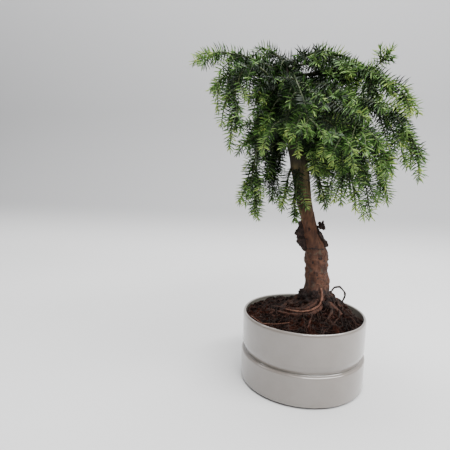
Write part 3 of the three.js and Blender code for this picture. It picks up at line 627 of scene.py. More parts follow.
def make_bark():
    """Scaly old bark, smooth younger bark, then green wood; darker at the foot and in the seam, and painted
    shade on the trunk's top inside the crown
    """
    bark = Finish("reddish_bark", specular_ior_level=0.35)
    height = bark.height()
    fibre = bark.noise(2.6, (1, 1, 0.22), detail=6, rough=0.62)
    patch = bark.noise(9, (1, 1, 0.7), detail=4, distortion=0.4)
    rings = bark.noise(1.9, (0.3, 0.3, 1.2), detail=4, rough=0.6)
    mottle = bark.noise(6.5, (1, 1, 0.7), detail=5, distortion=0.5)
    scaly = mottle * 0.75 + rings * 0.25
    old = bark.turn(scaly, 0.34, 0.64, (0.028, 0.0105, 0.006), (0.098, 0.040, 0.0215))
    grey = bark.rise(bark.noise(7.5, detail=3, distortion=0.5), 0.58, 0.68)
    old = bark.mix(grey * 0.6, old, (0.075, 0.066, 0.044))
    smooth = bark.turn(fibre * 0.6 + patch * 0.4, 0.38, 0.64, (0.040, 0.015, 0.008), (0.112, 0.047, 0.024))
    green = bark.turn(fibre, 0.35, 0.65, (0.045, 0.033, 0.014), (0.125, 0.095, 0.04))
    darker_foot = bark.turn(fibre * 0.5 + patch * 0.5, 0.42, 0.66, (0.009, 0.004, 0.003), (0.085, 0.038, 0.024))
    crack = bark.rise(fibre * 0.6 + mottle * 0.4, 0.29, 0.38)
    spots = bark.noise(5.2, (1, 1, 1.1), detail=3)
    wood = bark.turn(height + patch * 14, 168, 186, old, smooth)
    wood = bark.turn(height + patch * 40, 214, 278, wood, green)
    # Painted shade: the bark turns near black from about 270 mm up, where the crown hangs over it
    wood = bark.turn(height + patch * 22, 268, 288, wood, (0.022, 0.017, 0.010))
    wood = bark.mix(crack, (0.014, 0.007, 0.005), wood)
    wood = bark.turn(spots, 0.62, 0.68, wood, (0.018, 0.011, 0.008))
    # Darker bark towards the foot
    wood = bark.turn(122 - height + patch * 22, 9, 17, wood, darker_foot)
    seam = bark.node("ShaderNodeMath", dict(operation="ABSOLUTE"), {0: height + patch * 7 - SEAM_Z - 3.5})
    from_seam = seam + bark.rise(mottle, 0.46, 0.6) * 1.4
    bark.dress(bark.turn(from_seam, 0.3, 1.2, (0.016, 0.008, 0.006), wood), fibre, 0.66, 0.25)
    bark.bump(fibre * 0.5 + rings * 0.25 + mottle * 0.4 + crack * 0.3, 0.9)
    return bark


def make_flake_bark():
    flake = Finish("dark_bark_flake", specular_ior_level=0.3)
    grain = flake.noise(1.7, (1, 1, 0.4), detail=5, rough=0.65)
    colour = flake.turn(grain, 0.4, 0.75, (0.012, 0.007, 0.006), (0.06, 0.032, 0.024))
    return flake.dress(colour, grain, 0.7, 0.25, 0.7)


def make_root_bark(name, dark, light):
    root = Finish(name, specular_ior_level=0.2)
    grain = root.noise(1.5, detail=5, rough=0.6)
    blotchy = grain * 0.55 + root.noise(6, detail=2) * 0.45
    return root.dress(root.turn(blotchy, 0.36, 0.62, dark, light), grain, 0.6, 0.3, 0.35)


def make_soil():
    soil = Finish("potting_mix", specular_ior_level=0.06)
    crumb = soil.noise(1.4, detail=6, rough=0.7)
    dark = soil.turn(crumb, 0.42, 0.68, (0.001, 0.0006, 0.0005), (0.0105, 0.0038, 0.0026))
    red = soil.turn(crumb, 0.38, 0.64, (0.002, 0.0009, 0.0006), (0.040, 0.0125, 0.0072))
    return soil.dress(soil.turn(soil.noise(13, detail=3), 0.46, 0.6, dark, red), crumb, 0.78, 0.2, 1.1)


def make_bough_bark():
    bough = Finish("olive_bough", specular_ior_level=0.3)
    grain = bough.noise(1.6)
    colour = bough.turn(grain, 0.36, 0.66, (0.010, 0.012, 0.005), (0.034, 0.036, 0.013))
    return bough.dress(colour, grain, 0.6, 0.25, 0.4)


def make_twig_bark():
    twig = Finish("green_brown_twig", specular_ior_level=0.35)
    streak = twig.noise(1.3)
    colour = twig.turn(streak, 0.38, 0.62, (0.018, 0.023, 0.008), (0.055, 0.074, 0.021))
    return twig.dress(colour, streak, 0.55, 0.2)


def make_needle_finishes():
    return {name: Finish(f"needle_{name}", base_color=green, roughness=0.46, specular_ior_level=0.2)
            for name, green in NEEDLE_GREENS.items()}


# Pot

def arc(centre_r, centre_z, radius, start, end, steps, flatter=1):
    angle = np.radians(np.linspace(start, end, steps + 1))
    return np.stack((centre_r + radius * np.cos(angle), centre_z + radius * flatter * np.sin(angle)), -1)


def inner_radius(z):
    """The pot's inside wall leans in from just under the rim down to the floor"""
    top = POT["height"] - POT["wall"] / 2
    return INSIDE - POT["wall_grows"] * (top - z) / (top - POT["floor"])


def pot_outline():
    """Half of the pot's section, from the hollow of its foot up the outside and down to its floor"""
    radius, lower, height = POT["radius"], POT["lower_radius"], POT["height"]
    crest, inner, waist = radius - RIM["outer"], POT["wall"] - RIM["outer"], radius - POT["groove_depth"]
    ring, hollow, shoulder = FOOT_RING, lower - FOOT_RING["outside"], POT["shoulder_round"]
    groove, groove_top = POT["groove_height"], POT["groove_height"] + POT["groove_width"]
    share = np.linspace(0, 1, 19)
    swell = radius - POT["groove_depth"] * (1 - share) ** POT["swell_power"]
    return np.concatenate((
        ((lower - ring["inside"], 0), (hollow, 0), (hollow, ring["height"])),
        arc(lower - ring["round"], ring["height"] + ring["round"], ring["round"], -90, 0, 6),
        ((lower, groove * 0.5),),
        arc(lower - shoulder, groove - shoulder, shoulder, 0, 90, 9),
        ((waist - POT["undercut"], groove + 0.1), (waist - POT["undercut"], groove_top)),
        np.stack((swell, groove_top + share * (POT["body_full_height"] - groove_top)), -1),
        arc(crest, height - RIM["outer_drop"], RIM["outer"], 0, 90, 12, RIM["outer_drop"] / RIM["outer"]),
        arc(crest, height - RIM["inner_drop"], inner, 99, 180, 8, RIM["inner_drop"] / inner),
        ((inner_radius(POT["floor"]), POT["floor"]),),
    ))


def build_pot(glaze):
    outline = pot_outline()[:, None]
    rings = outline[..., :1] * headings_round(POT["sectors"]) + outline[..., 1:] * UP
    make_solid("glazed_pot", rings, glaze, "pot", "pot")


# Trunk

def trunk_value(column, z):
    """A smooth value between the trunk's stations at a height"""
    heights, values = TRUNK_STATIONS[:, 0], TRUNK_STATIONS[:, COLUMNS[column]]
    last = len(heights) - 1
    before, after = np.maximum(np.arange(last + 1) - 1, 0), np.minimum(np.arange(last + 1) + 1, last)
    slopes = (values[after] - values[before]) / (heights[after] - heights[before])
    low = np.clip(np.searchsorted(heights, z, side="left") - 1, 0, last - 1)
    span = heights[low + 1] - heights[low]
    t = (z - heights[low]) / span
    return ((2 * t ** 3 - 3 * t ** 2 + 1) * values[low] + (t ** 3 - 2 * t ** 2 + t) * span * slopes[low]
            + (3 * t ** 2 - 2 * t ** 3) * values[low + 1] + (t ** 3 - t ** 2) * span * slopes[low + 1])


def trunk_centre(z):
    return np.stack((trunk_value("x", z), trunk_value("y", z), np.asarray(z, float)), -1)


def degrees_apart(angle, towards):
    return (angle - towards + 180) % 360 - 180


def trunk_radius(z, angle):
    """The trunk's radius with its flare, without bark relief"""
    radius = trunk_value("radius", z)
    flare = np.maximum(0, (FLARE["top"] - z) / (FLARE["top"] - FOOT_Z)) ** 2
    for towards, reach in BUTTRESSES:
        apart = np.abs(degrees_apart(angle, towards))
        ridge = np.where(apart < FLARE["width"], np.cos(apart / FLARE["width"] * math.pi / 2), 0)
        radius = radius + reach * flare * ridge
    return radius


def bark_relief(points, z, angle):
    """How far the bark stands out of the smooth trunk"""
    old = 1 - np.clip((z - 160) / 14, 0, 1)
    plates = roughness_of(points * (1, 1, 0.8), 7, 11, 5)
    fibres = roughness_of(points * (1, 1, 0.35), 2.4, 21, 4)
    rings = lumps(points * (0.25, 0.25, 1), 2.2, 31)
    relief = old * (plates * 1.15 + fibres * 0.5 + rings * 0.35)
    relief = relief + (1 - old) * (fibres * 0.42 + plates * 0.28)
    relief = relief - 0.9 * np.exp(-((z - SEAM_Z - lumps(points, 6, 41) * 1.6) / 1.1) ** 2)
    for height, towards, reach, tall, wide in KNOBS:
        apart = degrees_apart(angle, towards) / wide
        relief = relief + reach * np.exp(-(((z - height) / tall) ** 2) - apart ** 2)
    return relief * np.clip(trunk_value("radius", z) / 9, 0.3, 1)


def build_trunk(bark):
    rings, sectors = TRUNK_GRID["rings"], TRUNK_GRID["sectors"]
    heights = np.linspace(FOOT_Z - TRUNK_GRID["sunk"], TOP_Z, rings)
    z, angle = np.meshgrid(heights, np.arange(sectors) * 360 / sectors, indexing="ij")
    above = np.maximum(z, FOOT_Z)
    centre, out = trunk_centre(above), heading(angle)
    centre[..., 2] = z
    points = centre + out * trunk_radius(above, angle)[..., None]
    make_solid("bark_trunk", points + out * bark_relief(points, z, angle)[..., None], bark, "bark", "trunk")


def crust_points(towards, low, high, wide, seed, profile):
    """The outer and inner points of one crust; its sides drop steeply into the trunk"""
    grid = CRUST_GRID
    up, side = np.linspace(0, 1, grid["rows"]), np.linspace(-1, 1, grid["columns"])
    up, side = np.meshgrid(up, side, indexing="ij")
    flat = np.stack((side * wide * 0.11, up * (high - low), side * 0), -1)
    ragged = 0.82 + 0.3 * roughness_of(flat * (0, 1, 0), 5, seed + 50, 3)
    angle = towards + side * wide / 2 * ragged
    z = low + (high - low) * up + 1.2 * lumps(flat, 5, seed + 60)
    stand = np.interp(up, np.linspace(0, 1, len(profile)), profile)
    inward = np.minimum(np.minimum(1 - np.abs(side), up * 4), (1 - up) * 4) / grid["wall"]
    rough = roughness_of(flat, 4.5, seed + 70, 4)
    lift = (stand * (1 + 0.34 * rough) + 0.5 * rough) * np.clip(inward, 0, 1) ** 0.5
    base = trunk_radius(z, angle) - grid["sunk"]
    centre, out = trunk_centre(z), heading(angle)
    outer = centre + out * (base + np.maximum(lift + grid["sunk"], 0.15))[..., None]
    return np.concatenate((outer.reshape(-1, 3), (centre + out * base[..., None]).reshape(-1, 3)))


def crust_faces():
    """Front, back and the wall round them"""
    rows, columns = CRUST_GRID["rows"], CRUST_GRID["columns"]
    size = rows * columns
    index = np.arange(size).reshape(rows, columns)
    edge = np.concatenate((index[0], index[1:, -1], index[-1, -2::-1], index[-2:0:-1, 0]))
    following = np.roll(edge, -1)
    front = grid_faces(rows, columns, closed=False)
    return np.concatenate((front, front[:, ::-1] + size, np.stack((edge, edge + size, following + size), -1),
                           np.stack((edge, following + size, following), -1)))


def build_crusts(finish):
    heap, faces, ball = Heap(), crust_faces(), blob(2)
    for crust in CRUSTS:
        heap.add(crust_points(*crust), faces)
    for seed, (towards, z, stand, across, tall) in enumerate(KNOB_LUMPS):
        centre = trunk_centre(z) + heading(towards) * (trunk_value("radius", z) + stand)
        add_lump(heap, ball, centre, (across, across, tall), 0.2 * roughness_of(ball[0] * 2, 1, seed, 3))
    for seed, (x, y, z, *halves) in enumerate(SCARS):
        add_lump(heap, ball, (x, y, z), halves, 0.25 * roughness_of(ball[0] * 2, 1, seed + 30, 3))
    heap.make("bark_crusts", finish, "bark")


# Soil and roots

def soil_height(x, y):
    away = np.hypot(x - FOOT[0], y - FOOT[1]) / SOIL["mound_spread"]
    inward = 1 - np.minimum(1, np.hypot(x, y) / INSIDE) ** 6
    crumbs = np.sin(x * 0.41 + 1) * np.sin(y * 0.37) + 0.6 * np.sin(x * 0.9 - y * 0.7)
    mound = SOIL["mound_height"] * np.exp(-(away ** 2)) * inward
    return SOIL["edge_height"] + mound + SOIL["crumb"] * crumbs


def crumbly_height(x, y):
    flat = np.stack((x, y, np.zeros_like(x)), -1)
    crumbs = roughness_of(flat, 8, 101, 5) * 2.1
    ridges = 1 - np.abs(roughness_of(flat * (1, 1.6, 1), 5, 111, 3)) * 2
    centre = heading(HOLLOW["towards"]) * HOLLOW["away"]
    away = np.hypot(x - centre[0], y - centre[1]) / HOLLOW["spread"]
    return soil_height(x, y) + crumbs + ridges * 0.9 - HOLLOW["depth"] * np.exp(-away ** 4)


def build_soil(finish):
    around = headings_round(SOIL_GRID["sectors"])
    outer = inner_radius(SOIL["edge_height"]) - SOIL_GRID["clearance"]
    radius = outer * np.linspace(1, SOIL_GRID["middle"], SOIL_GRID["rings"]) ** SOIL_GRID["crowding"]
    top = radius[:, None, None] * around
    top[..., 2] = crumbly_height(top[..., 0], top[..., 1])
    foot = POT["floor"] + 1
    base = (inner_radius(foot) - SOIL_GRID["clearance"]) * around + UP * foot
    make_solid("potting_soil", np.concatenate((base[None], top)), finish, "soil", "soil")


def soil_spots(rng, count, out_to):
    radius = INSIDE * out_to * np.sqrt(rng.uniform(0, 1, count))
    return (heading(rng.uniform(0, 360, count)) * radius[:, None])[:, :2]


def build_crumbs(finish):
    rng = np.random.default_rng(SEEDS["crumbs"])
    points, faces = blob(1)
    heap = Heap()
    for x, y in soil_spots(rng, CRUMBS["count"], CRUMBS["out_to"]):
        size = rng.uniform(*CRUMBS["size"]) * (1 + rng.random() ** 4 * CRUMBS["larger"])
        squash = rng.uniform(*CRUMBS["squash"], 3)
        shape = points * (1 + CRUMBS["rough"] * lumps(points * 2 + x, 1, 7))[:, None] * size * squash
        turn = np.array(Matrix.Rotation(rng.uniform(0, 6.3), 3, Vector(rng.normal(size=3))))
        heap.add(shape @ turn.T + (x, y, crumbly_height(x, y) + size * CRUMBS["above"]), faces)
    heap.make("soil_crumbs", finish, "soil")


def lying_strand(rng, x, y, length, lift):
    """A strand that lies on the soil from one spot, in a wandering line"""
    steps = STRAND["steps"]
    turn = rng.uniform(0, 360) + np.cumsum(rng.normal(0, STRAND["wander"], steps + 1))
    path = np.cumsum(heading(turn)[:, :2] * length / steps, axis=0) + (x, y)
    path = path / np.maximum(1, np.hypot(path[:, 0], path[:, 1]) / (INSIDE - STRAND["off_wall"]))[:, None]
    lifted = np.sin(np.linspace(0, math.pi, steps + 1)) * lift * rng.uniform(0.2, 1)
    z = crumbly_height(path[:, 0], path[:, 1]) + lifted
    z = np.convolve(np.pad(z, 1, mode="edge"), (0.25, 0.5, 0.25), mode="valid") + STRAND["above"]
    return Route(np.column_stack((path, z)))


def build_fibres(barks):
    for name, rule in FIBRES.items():
        rng = np.random.default_rng(rule["seed"])
        heap = Heap()
        for x, y in soil_spots(rng, rule["count"], STRAND["out_to"]):
            route = lying_strand(rng, x, y, rng.uniform(*rule["length"]), rule["lift"])
            thick = rng.uniform(*rule["thick"])
            add_tube(heap, route, taper(thick, thick * STRAND["thin"]), STRAND["sides"], STRAND["steps"])
        heap.make(name, barks[rule["bark"]], "soil")


def root_route(towards, turn, height, reach, thick, thin):
    share = np.linspace(0, 1, ROOT["steps"] + 1)
    start = ROOT["start_depth"] * trunk_radius(height, towards)
    waver = ROOT["waver"] * np.sin(share * ROOT["waves"] + towards) * share
    points = heading(towards + turn * share + waver) * (start + (reach - start) * share)[:, None]
    points[:, :2] += FOOT
    size = thick + (thin - thick) * share
    on_soil = soil_height(points[:, 0], points[:, 1]) + size * (1 - ROOT["sink"])
    leaving = np.maximum(0, 1 - share / ROOT["leaving"]) ** 2
    points[:, 2] = on_soil + (height - on_soil) * leaving
    return Route(points)


def fine_roots(rng):
    """Thin roots all round the foot"""
    rule = FINE_ROOTS
    for index in range(rule["count"]):
        towards = index * 360 / rule["count"] + rng.uniform(*rule["heading"])
        height, reach, thick = (rng.uniform(*rule[key]) for key in ("height", "reach", "thick"))
        yield towards, rng.uniform(*rule["turn"]), height, reach, thick, thick * rule["thin"]


def build_clods(peat):
    heap, ball = Heap(), blob(3)
    for seed, (x, y, z, *halves) in enumerate(CLODS):
        fine = roughness_of(ball[0] * 6, 1, seed + 70, 3)
        rough = roughness_of(ball[0] * 2, 1.1, seed + 60, 4) + 0.4 * fine
        add_lump(heap, ball, (x, y, z), halves, 0.4 * rough)
    heap.make("peat_clods", peat, "soil")


def build_roots(barks):
    old, brown, light, wiry = (Heap() for _ in range(4))
    for index, root in enumerate(SURFACE_ROOTS):
        add_tube(old, root_route(*root), taper(*root[4:]), *ROOT_TUBES["surface"], index + 1)
    for index, root in enumerate(fine_roots(np.random.default_rng(SEEDS["fine_roots"]))):
        add_tube(old, root_route(*root), taper(*root[4:]), *ROOT_TUBES["fine"], index)
    for index, (thick, corners) in enumerate(FRONT_ROOTS):
        route = smoothed(corners, ROUNDING["front"])
        add_tube(brown, route, taper(thick, thick * 0.5), *ROOT_TUBES["front"], index + 20)
    add_tube(light, smoothed(LIGHT_ROOT, ROUNDING["front"]), taper(1.4, 0.9), *ROOT_TUBES["light"], 3)
    add_tube(light, smoothed(PALE_FIBRE, ROUNDING["pale"]), taper(0.45, 0.3), *ROOT_TUBES["pale"], 9)
    add_tube(wiry, smoothed(ROOT_LOOP, ROUNDING["wiry"]), taper(1.25, 1.05), *ROOT_TUBES["wiry"])
    old.make("old_roots", barks["old_root"], "bark")
    brown.make("brown_roots", barks["brown_root"], "bark")
    light.make("light_root", barks["light_root"], "bark")
    wiry.make("wiry_root", barks["dark_wiry_root"], "bark")


# Crown

def shoot_route(shoot, number):
    """A shoot's whole route, from the middle of the trunk to its tip, as in the part"""
    _, height, towards, reach, tip, arch, sweep, hang = shoot[:8]
    start, away = trunk_centre(height), heading(towards)
    first_pull = heading(towards - sweep) * reach * ROUTE["first_pull"] + UP * arch * ROUTE["first_lift"]
    second_pull = away * reach * hang + UP * arch
    end = start + away * reach + UP * (tip - height)
    evenly = bow((start, start + first_pull, start + second_pull, end), 200)
    share = np.linspace(0, 1, ROUTE["steps"] + 1)
    waver = ROUTE["waver"] * share * np.sin(share * ROUTE["waves"] + chance_between(0, 6, number, 1))
    return Route(evenly.place(share * evenly.length) + np.cross(UP, away) * waver[:, None])


def twig_route(stem, side, share, hand, opening, tilt, reach, droop):
    """A twig's route: out of its stem at an angle, then drooping"""
    opening, tilt = math.radians(opening), math.radians(tilt)
    along = stem.direction(share * stem.length)
    sideways = side * math.cos(tilt) + np.cross(along, side) * math.sin(tilt)
    out = along * math.cos(opening) + sideways * hand * math.sin(opening)
    out[2] = min(out[2], TWIG_BEND["climb"])
    root = stem.place(share * stem.length)
    return bow((root, root + out * reach * TWIG_BEND["straight"],
                root + out * reach * TWIG_BEND["out"] - UP * reach * droop))


def side_twigs(stem, side, number, habit):
    """The part's own side twigs, each with its place along the stem"""
    rule = SIDE_TWIG
    count = 1 + round(stem.length * (habit["last"] - habit["first"]) / habit["spacing"])
    for twig in range(count):
        share = habit["first"] + (habit["last"] - habit["first"]) * (twig + 0.5) / count
        share += chance_between(-rule["share"], rule["share"], number, twig, 2)
        hand = 1 if (twig + number) % 2 else -1
        opening = habit["spread"] + chance_between(-rule["spread"], rule["spread"], number, twig, 3)
        tilt = chance_between(-rule["tilt"], rule["tilt"], number, twig, 4)
        shrink = chance_between(*rule["length"], number, twig, 5)
        reach = rule["usual"] * shrink * (rule["at_start"] - rule["lost_to_end"] * share)
        yield share, twig_route(stem, side, share, hand, opening, tilt, reach, TWIG_BEND["droop"])


def finer_twigs(stem, side, rng, spacing, first, last, length, spread):
    rule = FINE_TWIG
    count = int(stem.length * (last - first) / spacing)
    for twig in range(count):
        share = first + (last - first) * (twig + rng.uniform(*rule["place"])) / count
        hand = 1 if twig % 2 else -1
        opening = spread + rng.uniform(*rule["spread"])
        tilt = rng.uniform(*rule["tilt"])
        reach = length * rng.uniform(*rule["varies"]) * (rule["at_start"] - rule["lost_to_end"] * share)
        yield share, twig_route(stem, side, share, hand, opening, tilt, reach, TWIG_BEND["fine_droop"])


def hanging_twig(root, towards, reach, drop):
    """A twig that lifts a little, then hangs"""
    out = heading(towards) * reach
    lifted = root + out * HANGING_LIFT["share"] + UP * HANGING_LIFT["rise"]
    return bow((root, lifted, root + out - UP * drop))


def within(degrees, limits):
    return (degrees - limits[0]) % 360 < limits[1] - limits[0]


def in_trunk(height, towards):
    """A place for a twig's root, under the trunk's bark"""
    return trunk_centre(height) + heading(towards) * trunk_value("radius", height) * TRUNK_TWIG["depth"]


def trunk_twigs(rng):
    """Short shoots that stand on the trunk's top all round it, each with its tone"""
    rule = TRUNK_TWIG
    for twig in range(rule["count"]):
        share = (twig + rng.uniform(0, 1)) / rule["count"]
        height = rule["low"] + (rule["high"] - rule["low"]) * share
        towards = (math.degrees(twig * GOLDEN_TURN) + rng.uniform(-20, 20)) % 360
        if within(towards, rule["open_front"]) and height < rule["open_low"]:
            continue
        if within(towards, rule["open_right"]) and height > rule["open_high"]:
            continue
        out = heading(towards)
        front = max(0, -out[1])
        reach = rng.uniform(*rule["reach"]) * (1 - rule["short_top"] * share)
        root = in_trunk(height, towards)
        middle = root + out * reach * 0.5 + UP * rule["rise"] * rng.uniform(0.3, 1.2)
        end = root + out * reach - UP * rule["drop"] * (rng.uniform(-0.3, 1.2) + 0.5 * front)
        # Painted shade: twigs that do not face the front get a lower tone and so darker greens
        yield -0.2 if front > 0.2 else -0.9, bow((root, middle, end))


def clear_of_trunk(points, margin=0.8):
    level = np.clip(points[..., 2], FOOT_Z, TOP_Z)
    apart = points - trunk_centre(level)
    away = np.hypot(apart[..., 0], apart[..., 1])
    return (away > trunk_value("radius", level) + margin) | (points[..., 2] > TOP_Z)


def stands_clear(twig):
    return clear_of_trunk(twig.points[4:], 2).all()


class Needles:
    """All needles of the crown, dealt out by shade"""

    def __init__(self):
        self.rows = {name: [] for name in SHADES}

    def along(self, route, start, rng, shades, scale=1.0):
        """Needles in a spiral along a route from a distance on, in the shades given for distances from the
        tip, with painted shade dealt under the twig and on twigs that point to the front
        """
        rule = NEEDLE
        dense_from = max(start, route.length - rule["end"])
        distances = np.concatenate((np.arange(start, dense_from, rule["gap"]),
                                    np.arange(dense_from, route.length - 0.3, rule["end_gap"])))
        count = len(distances)
        if count == 0:
            return
        distances = distances + rng.uniform(-0.35, 0.35, count)
        root, along, across, over = route.frames(distances)
        to_end = route.length - distances
        near_tip = np.clip(1 - to_end / rule["end"], 0, 1)
        turn = np.arange(count) * math.radians(rule["turn"]) + rng.normal(0, 0.35)
        turn = turn + rng.normal(0, 0.09, count) + near_tip * distances * 0.2
        out = across * np.cos(turn)[:, None] + over * np.sin(turn)[:, None]
        lean = rule["lean"] + (rule["tip_lean"] - rule["lean"]) * near_tip ** 1.3
        lean = np.radians(lean + rng.normal(0, 4, count) * (1 + 2 * near_tip))[:, None]
        direction = out * np.sin(lean) + along * np.cos(lean)
        length = rule["length"] * scale * rng.uniform(0.78, 1.12, count) * (1 - rule["tip_short"] * near_tip)
        curl = along - direction * np.sum(along * direction, -1, keepdims=True)
        keep = clear_of_trunk(root + direction * length[:, None] * 0.9)
        kinds = np.array([SHADES.index(shade) for shade in shades])[np.digitize(to_end, SPRAY_ENDS)]
        # Painted shade: a needle that points down under its twig is dealt one shade darker; by chance others
        # go a shade darker or lighter
        luck = rng.random(count)
        kinds = kinds - (out[:, 2] < rule["under"]) - (luck < rule["darker"]) + (luck > 1 - rule["lighter"])
        # Painted shade: needles on a twig that points to the front are dealt one shade darker
        kinds = np.clip(kinds - (along[:, 1] < rule["to_front"]), 0, len(SHADES) - 1)
        rows = np.column_stack((root, direction, unit(curl), length))
        for kind in np.unique(kinds):
            self.rows[SHADES[kind]].append(rows[keep & (kinds == kind)])

    def build(self, finishes, nodes):
        for name in SHADES:
            rows = np.concatenate(self.rows[name])
            parts = math.ceil(len(rows) / NEEDLE["most_in_piece"])
            for part, chunk in enumerate(np.array_split(rows, parts)):
                heap = Heap()
                heap.add(*needle_mesh(chunk))
                heap.make(f"needles_{name}_{part + 1}", finishes[name], "needles", *nodes, smooth=False)


def needle_mesh(rows):
    """A slim three-sided blade for each row of root, direction, curl and length"""
    root, direction, curl, length = np.split(rows, (3, 6, 9), axis=1)
    side = np.cross(direction, curl)
    points = []
    for share, width in ((0, 0.8), (0.6, 1.0)):
        centre = root + direction * length * share - curl * length * NEEDLE["curl"] * share
        for turn in (math.radians(90 + corner * 120) for corner in range(3)):
            points.append(centre + (side * math.cos(turn) + curl * math.sin(turn)) * NEEDLE["thick"] * width)
    points.append(root + direction * length)
    faces = [(0, 2, 1)]
    for corner in range(3):
        beside = (corner + 1) % 3
        faces += [(corner, beside, beside + 3), (corner, beside + 3, corner + 3)]
        faces += [(corner + 3, beside + 3, 6)]
    all_faces = np.array(faces) + np.arange(len(rows))[:, None, None] * len(points)
    return np.stack(points, 1).reshape(-1, 3), all_faces.reshape(-1, 3)


def spray_for(route, rng, tone):
    """Sprays near the crown's outside are younger and lighter; the darker sprays inside are partly painted
    shade
    """
    apart = route.points[-1] - trunk_centre(min(route.points[-1, 2], TOP_Z))
    outness = np.hypot(apart[0], apart[1]) / SPRAY_AGE["outside"]
    age = SPRAY_AGE["inside"] - SPRAY_AGE["lighter_outside"] * outness
    age = age + rng.normal(0, SPRAY_AGE["varies"]) - tone
    return SPRAYS[int(np.clip(round(age), 0, len(SPRAYS) - 1))]


class Crown:
    """Boughs, twigs and needles, grown shoot by shoot"""

    def __init__(self):
        self.boughs, self.twigs, self.needles = Heap(), Heap(), Needles()

    def add_leafy_twig(self, kind, twig, side, rng, tone, scale=1):
        """A twig with its needles, and the small twigs on it"""
        rule = LEAFY[kind]
        add_tube(self.twigs, twig, taper(*rule["wood"]), *rule["grid"])
        shades = spray_for(twig, rng, tone + rule["tone"])
        self.needles.along(twig, rule["bare"], rng, shades, scale * rule["scale"])
        if twig.length > rule["over"]:
            for _, small in finer_twigs(twig, side, rng, *rule["rule"]):
                if stands_clear(small):
                    self.add_leafy_twig(rule["small"], small, side, rng, tone, scale)

    def add_shoot(self, number, shoot):
        name, height, towards = shoot[:3]
        habit, tone = SIDE_TWIGS[shoot[8]], shoot[9]
        rng = np.random.default_rng(SEEDS["shoots"] + number)
        route = shoot_route(shoot, number)
        side = np.cross(UP, heading(towards))
        trunk_thick = trunk_value("radius", height)
        thick = min(BOUGH["thickest"], BOUGH["extra"] + BOUGH["per_trunk"] * trunk_thick)
        size, end = taper(thick, BOUGH["end"], BOUGH["power"]), BOUGH["share"]
        add_tube(self.boughs, route.span(0, end), lambda share: size(share * end), 9, 40, 0.2, number)
        rest = route.span(end - BOUGH["overlap"], 1)
        add_tube(self.twigs, rest, lambda share: size(end + share * (1 - end)), 6, 48)
        stem = route.span(trunk_thick / route.length if shoot[8] == "bare" else BOUGH["start"], 1)
        in_leaf = route.span((trunk_thick + BOUGH["bare"]) / route.length, 1)
        scale = 1 - NEEDLE["front_short"] * max(0, -heading(towards)[1])
        self.needles.along(in_leaf, 0, rng, spray_for(stem, rng, tone + BOUGH["stem_tone"]), scale)
        grown = itertools.chain(side_twigs(stem, side, number, habit), finer_twigs(
            stem, side, rng, FINE_TWIG["spacing"], *habit["fine"], FINE_TWIG["length"],
            habit["spread"] - FINE_TWIG["closer"]))
        own = [(tone + TONE_SHIFT[0] + TONE_SHIFT[1] * share, twig) for share, twig in grown]
        for share, heads, reach, drop, its_tone in PLACED_TWIGS.get(name, ()):
            own.append((its_tone, hanging_twig(route.place(share * route.length), heads, reach, drop)))
        for its_tone, twig in own:
            if stands_clear(twig):
                self.add_leafy_twig("shoot", twig, side, rng, its_tone, scale)

    def add_trunk_twigs(self):
        rng = np.random.default_rng(SEEDS["trunk_twigs"])
        strands = [(tone, hanging_twig(in_trunk(height, towards), towards, reach, drop))
                   for height, towards, reach, drop, tone in TRUNK_STRANDS]
        for tone, twig in (*trunk_twigs(rng), *strands):
            side = np.cross(UP, unit(twig.points[-1] - twig.points[0]))
            self.add_leafy_twig("trunk", twig, side, rng, tone)

    def build(self, bough_bark, twig_bark, needle_finishes):
        boughs = sorted(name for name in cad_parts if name.startswith("bough_"))
        masses = sorted(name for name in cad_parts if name.startswith("foliage_"))
        self.boughs.make("boughs", bough_bark, "bark", *boughs)
        self.twigs.make("green_twigs", twig_bark, "needles", *masses)
        self.needles.build(needle_finishes, masses)


# Stage

# Camera: place, how far it looks up from straight down, its turn to the left and its roll, in degrees
CAMERA = dict(place=(0, -479.85, 251.37), up=82.829, left=12.176, roll=1.354, pixels=385.65, image=450,
              sensor=36)
SWEEP = dict(front=-1600, bend_from=500, bend=500, steps=12, top=2200, half_width=2600)


def build_camera():
    left, up, roll = (Matrix.Rotation(math.radians(CAMERA[key]), 4, axis)
                      for key, axis in (("left", "Z"), ("up", "X"), ("roll", "Z")))
    camera = put_in_scene("camera", bpy.data.cameras.new("camera"))
    camera.data.sensor_width = CAMERA["sensor"]
    camera.data.lens = CAMERA["pixels"] * CAMERA["sensor"] / CAMERA["image"]
    camera.data.clip_start = 0.01
    camera.matrix_world = Matrix.Translation(Vector(CAMERA["place"]) * MM) @ left @ up @ roll
    bpy.context.scene.camera = camera


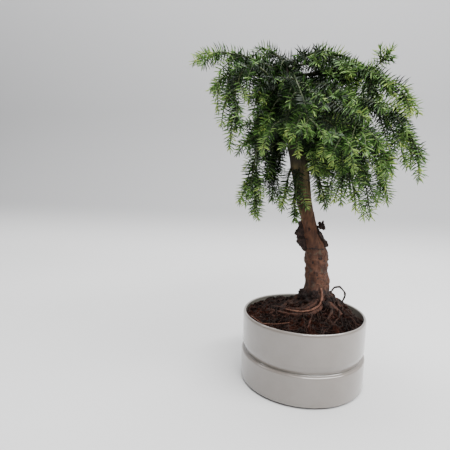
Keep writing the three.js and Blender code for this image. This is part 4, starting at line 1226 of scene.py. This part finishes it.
def build_stage():
    """A pale floor that curves up into a backdrop"""
    paper = Finish("pale_sweep", roughness=0.9, specular_ior_level=0.2)
    floor = paper.mix(paper.noise(400, detail=2), (0.63, 0.63, 0.633), (0.66, 0.66, 0.657))
    paper.set("Base Color", paper.turn(paper.height(), 0, 140, floor, (0.36, 0.36, 0.366)))
    turn = np.linspace(0, math.pi / 2, SWEEP["steps"] + 1)
    bend = SWEEP["bend"] * np.stack((np.sin(turn), 1 - np.cos(turn)), -1) + (SWEEP["bend_from"], 0)
    profile = np.array(((SWEEP["front"], 0), *bend, (bend[-1, 0], SWEEP["top"])))
    left, right = (np.insert(profile, 0, x, axis=1) for x in (-SWEEP["half_width"], SWEEP["half_width"]))
    row = 2 * np.arange(len(profile) - 1)
    faces = np.stack((row, row + 1, row + 3, row + 2), -1)
    sweep = make_mesh("sweep", np.stack((left, right), 1).reshape(-1, 3), faces, paper)


# Lights: name, place, target and size in metres, and power
LIGHTS = (
    ("overhead", (0.1, 0.1, 1.5), (0, 0.05, 0.2), (1.2, 1.2), 30),
    ("front_top", (0.8, -0.72, 1.42), (0, 0, 0.12), (2.2, 0.35), 66),
    ("back_top", (0.35, 1.0, 1.25), (0, 0, 0.2), (1.8, 0.6), 10),
    ("back_wash", (-1.3, 0.3, 1.8), (-1.5, 1.1, 0.8), (2.0, 0.8), 34),
)


def build_lights():
    for name, place, target, size, power in LIGHTS:
        light = bpy.data.lights.new(name, "AREA")
        light.shape = "RECTANGLE"
        light.size, light.size_y = size
        light.energy = power
        lamp = put_in_scene(name, light)
        lamp.location = place
        lamp.rotation_euler = (Vector(target) - Vector(place)).to_track_quat("-Z", "Y").to_euler()
    world = bpy.data.worlds.new("soft_room")
    world.use_nodes = True
    background = world.node_tree.nodes["Background"]
    background.inputs["Color"].default_value = (0.93, 0.95, 1.0, 1)
    background.inputs["Strength"].default_value = 0.16
    bpy.context.scene.world = world


def main():
    build_camera()
    build_stage()
    build_lights()
    build_pot(make_glaze())
    build_trunk(make_bark())
    build_crusts(make_flake_bark())
    soil = make_soil()
    build_soil(soil)
    build_crumbs(soil)
    barks = {name: make_root_bark(name, *colours) for name, colours in ROOT_COLOURS.items()}
    build_fibres(barks)
    build_clods(barks["peat_clod"])
    build_roots(barks)
    crown = Crown()
    for number, shoot in enumerate(SHOOTS):
        crown.add_shoot(number, shoot)
    crown.add_trunk_twigs()
    crown.build(make_bough_bark(), make_twig_bark(), make_needle_finishes())


main()
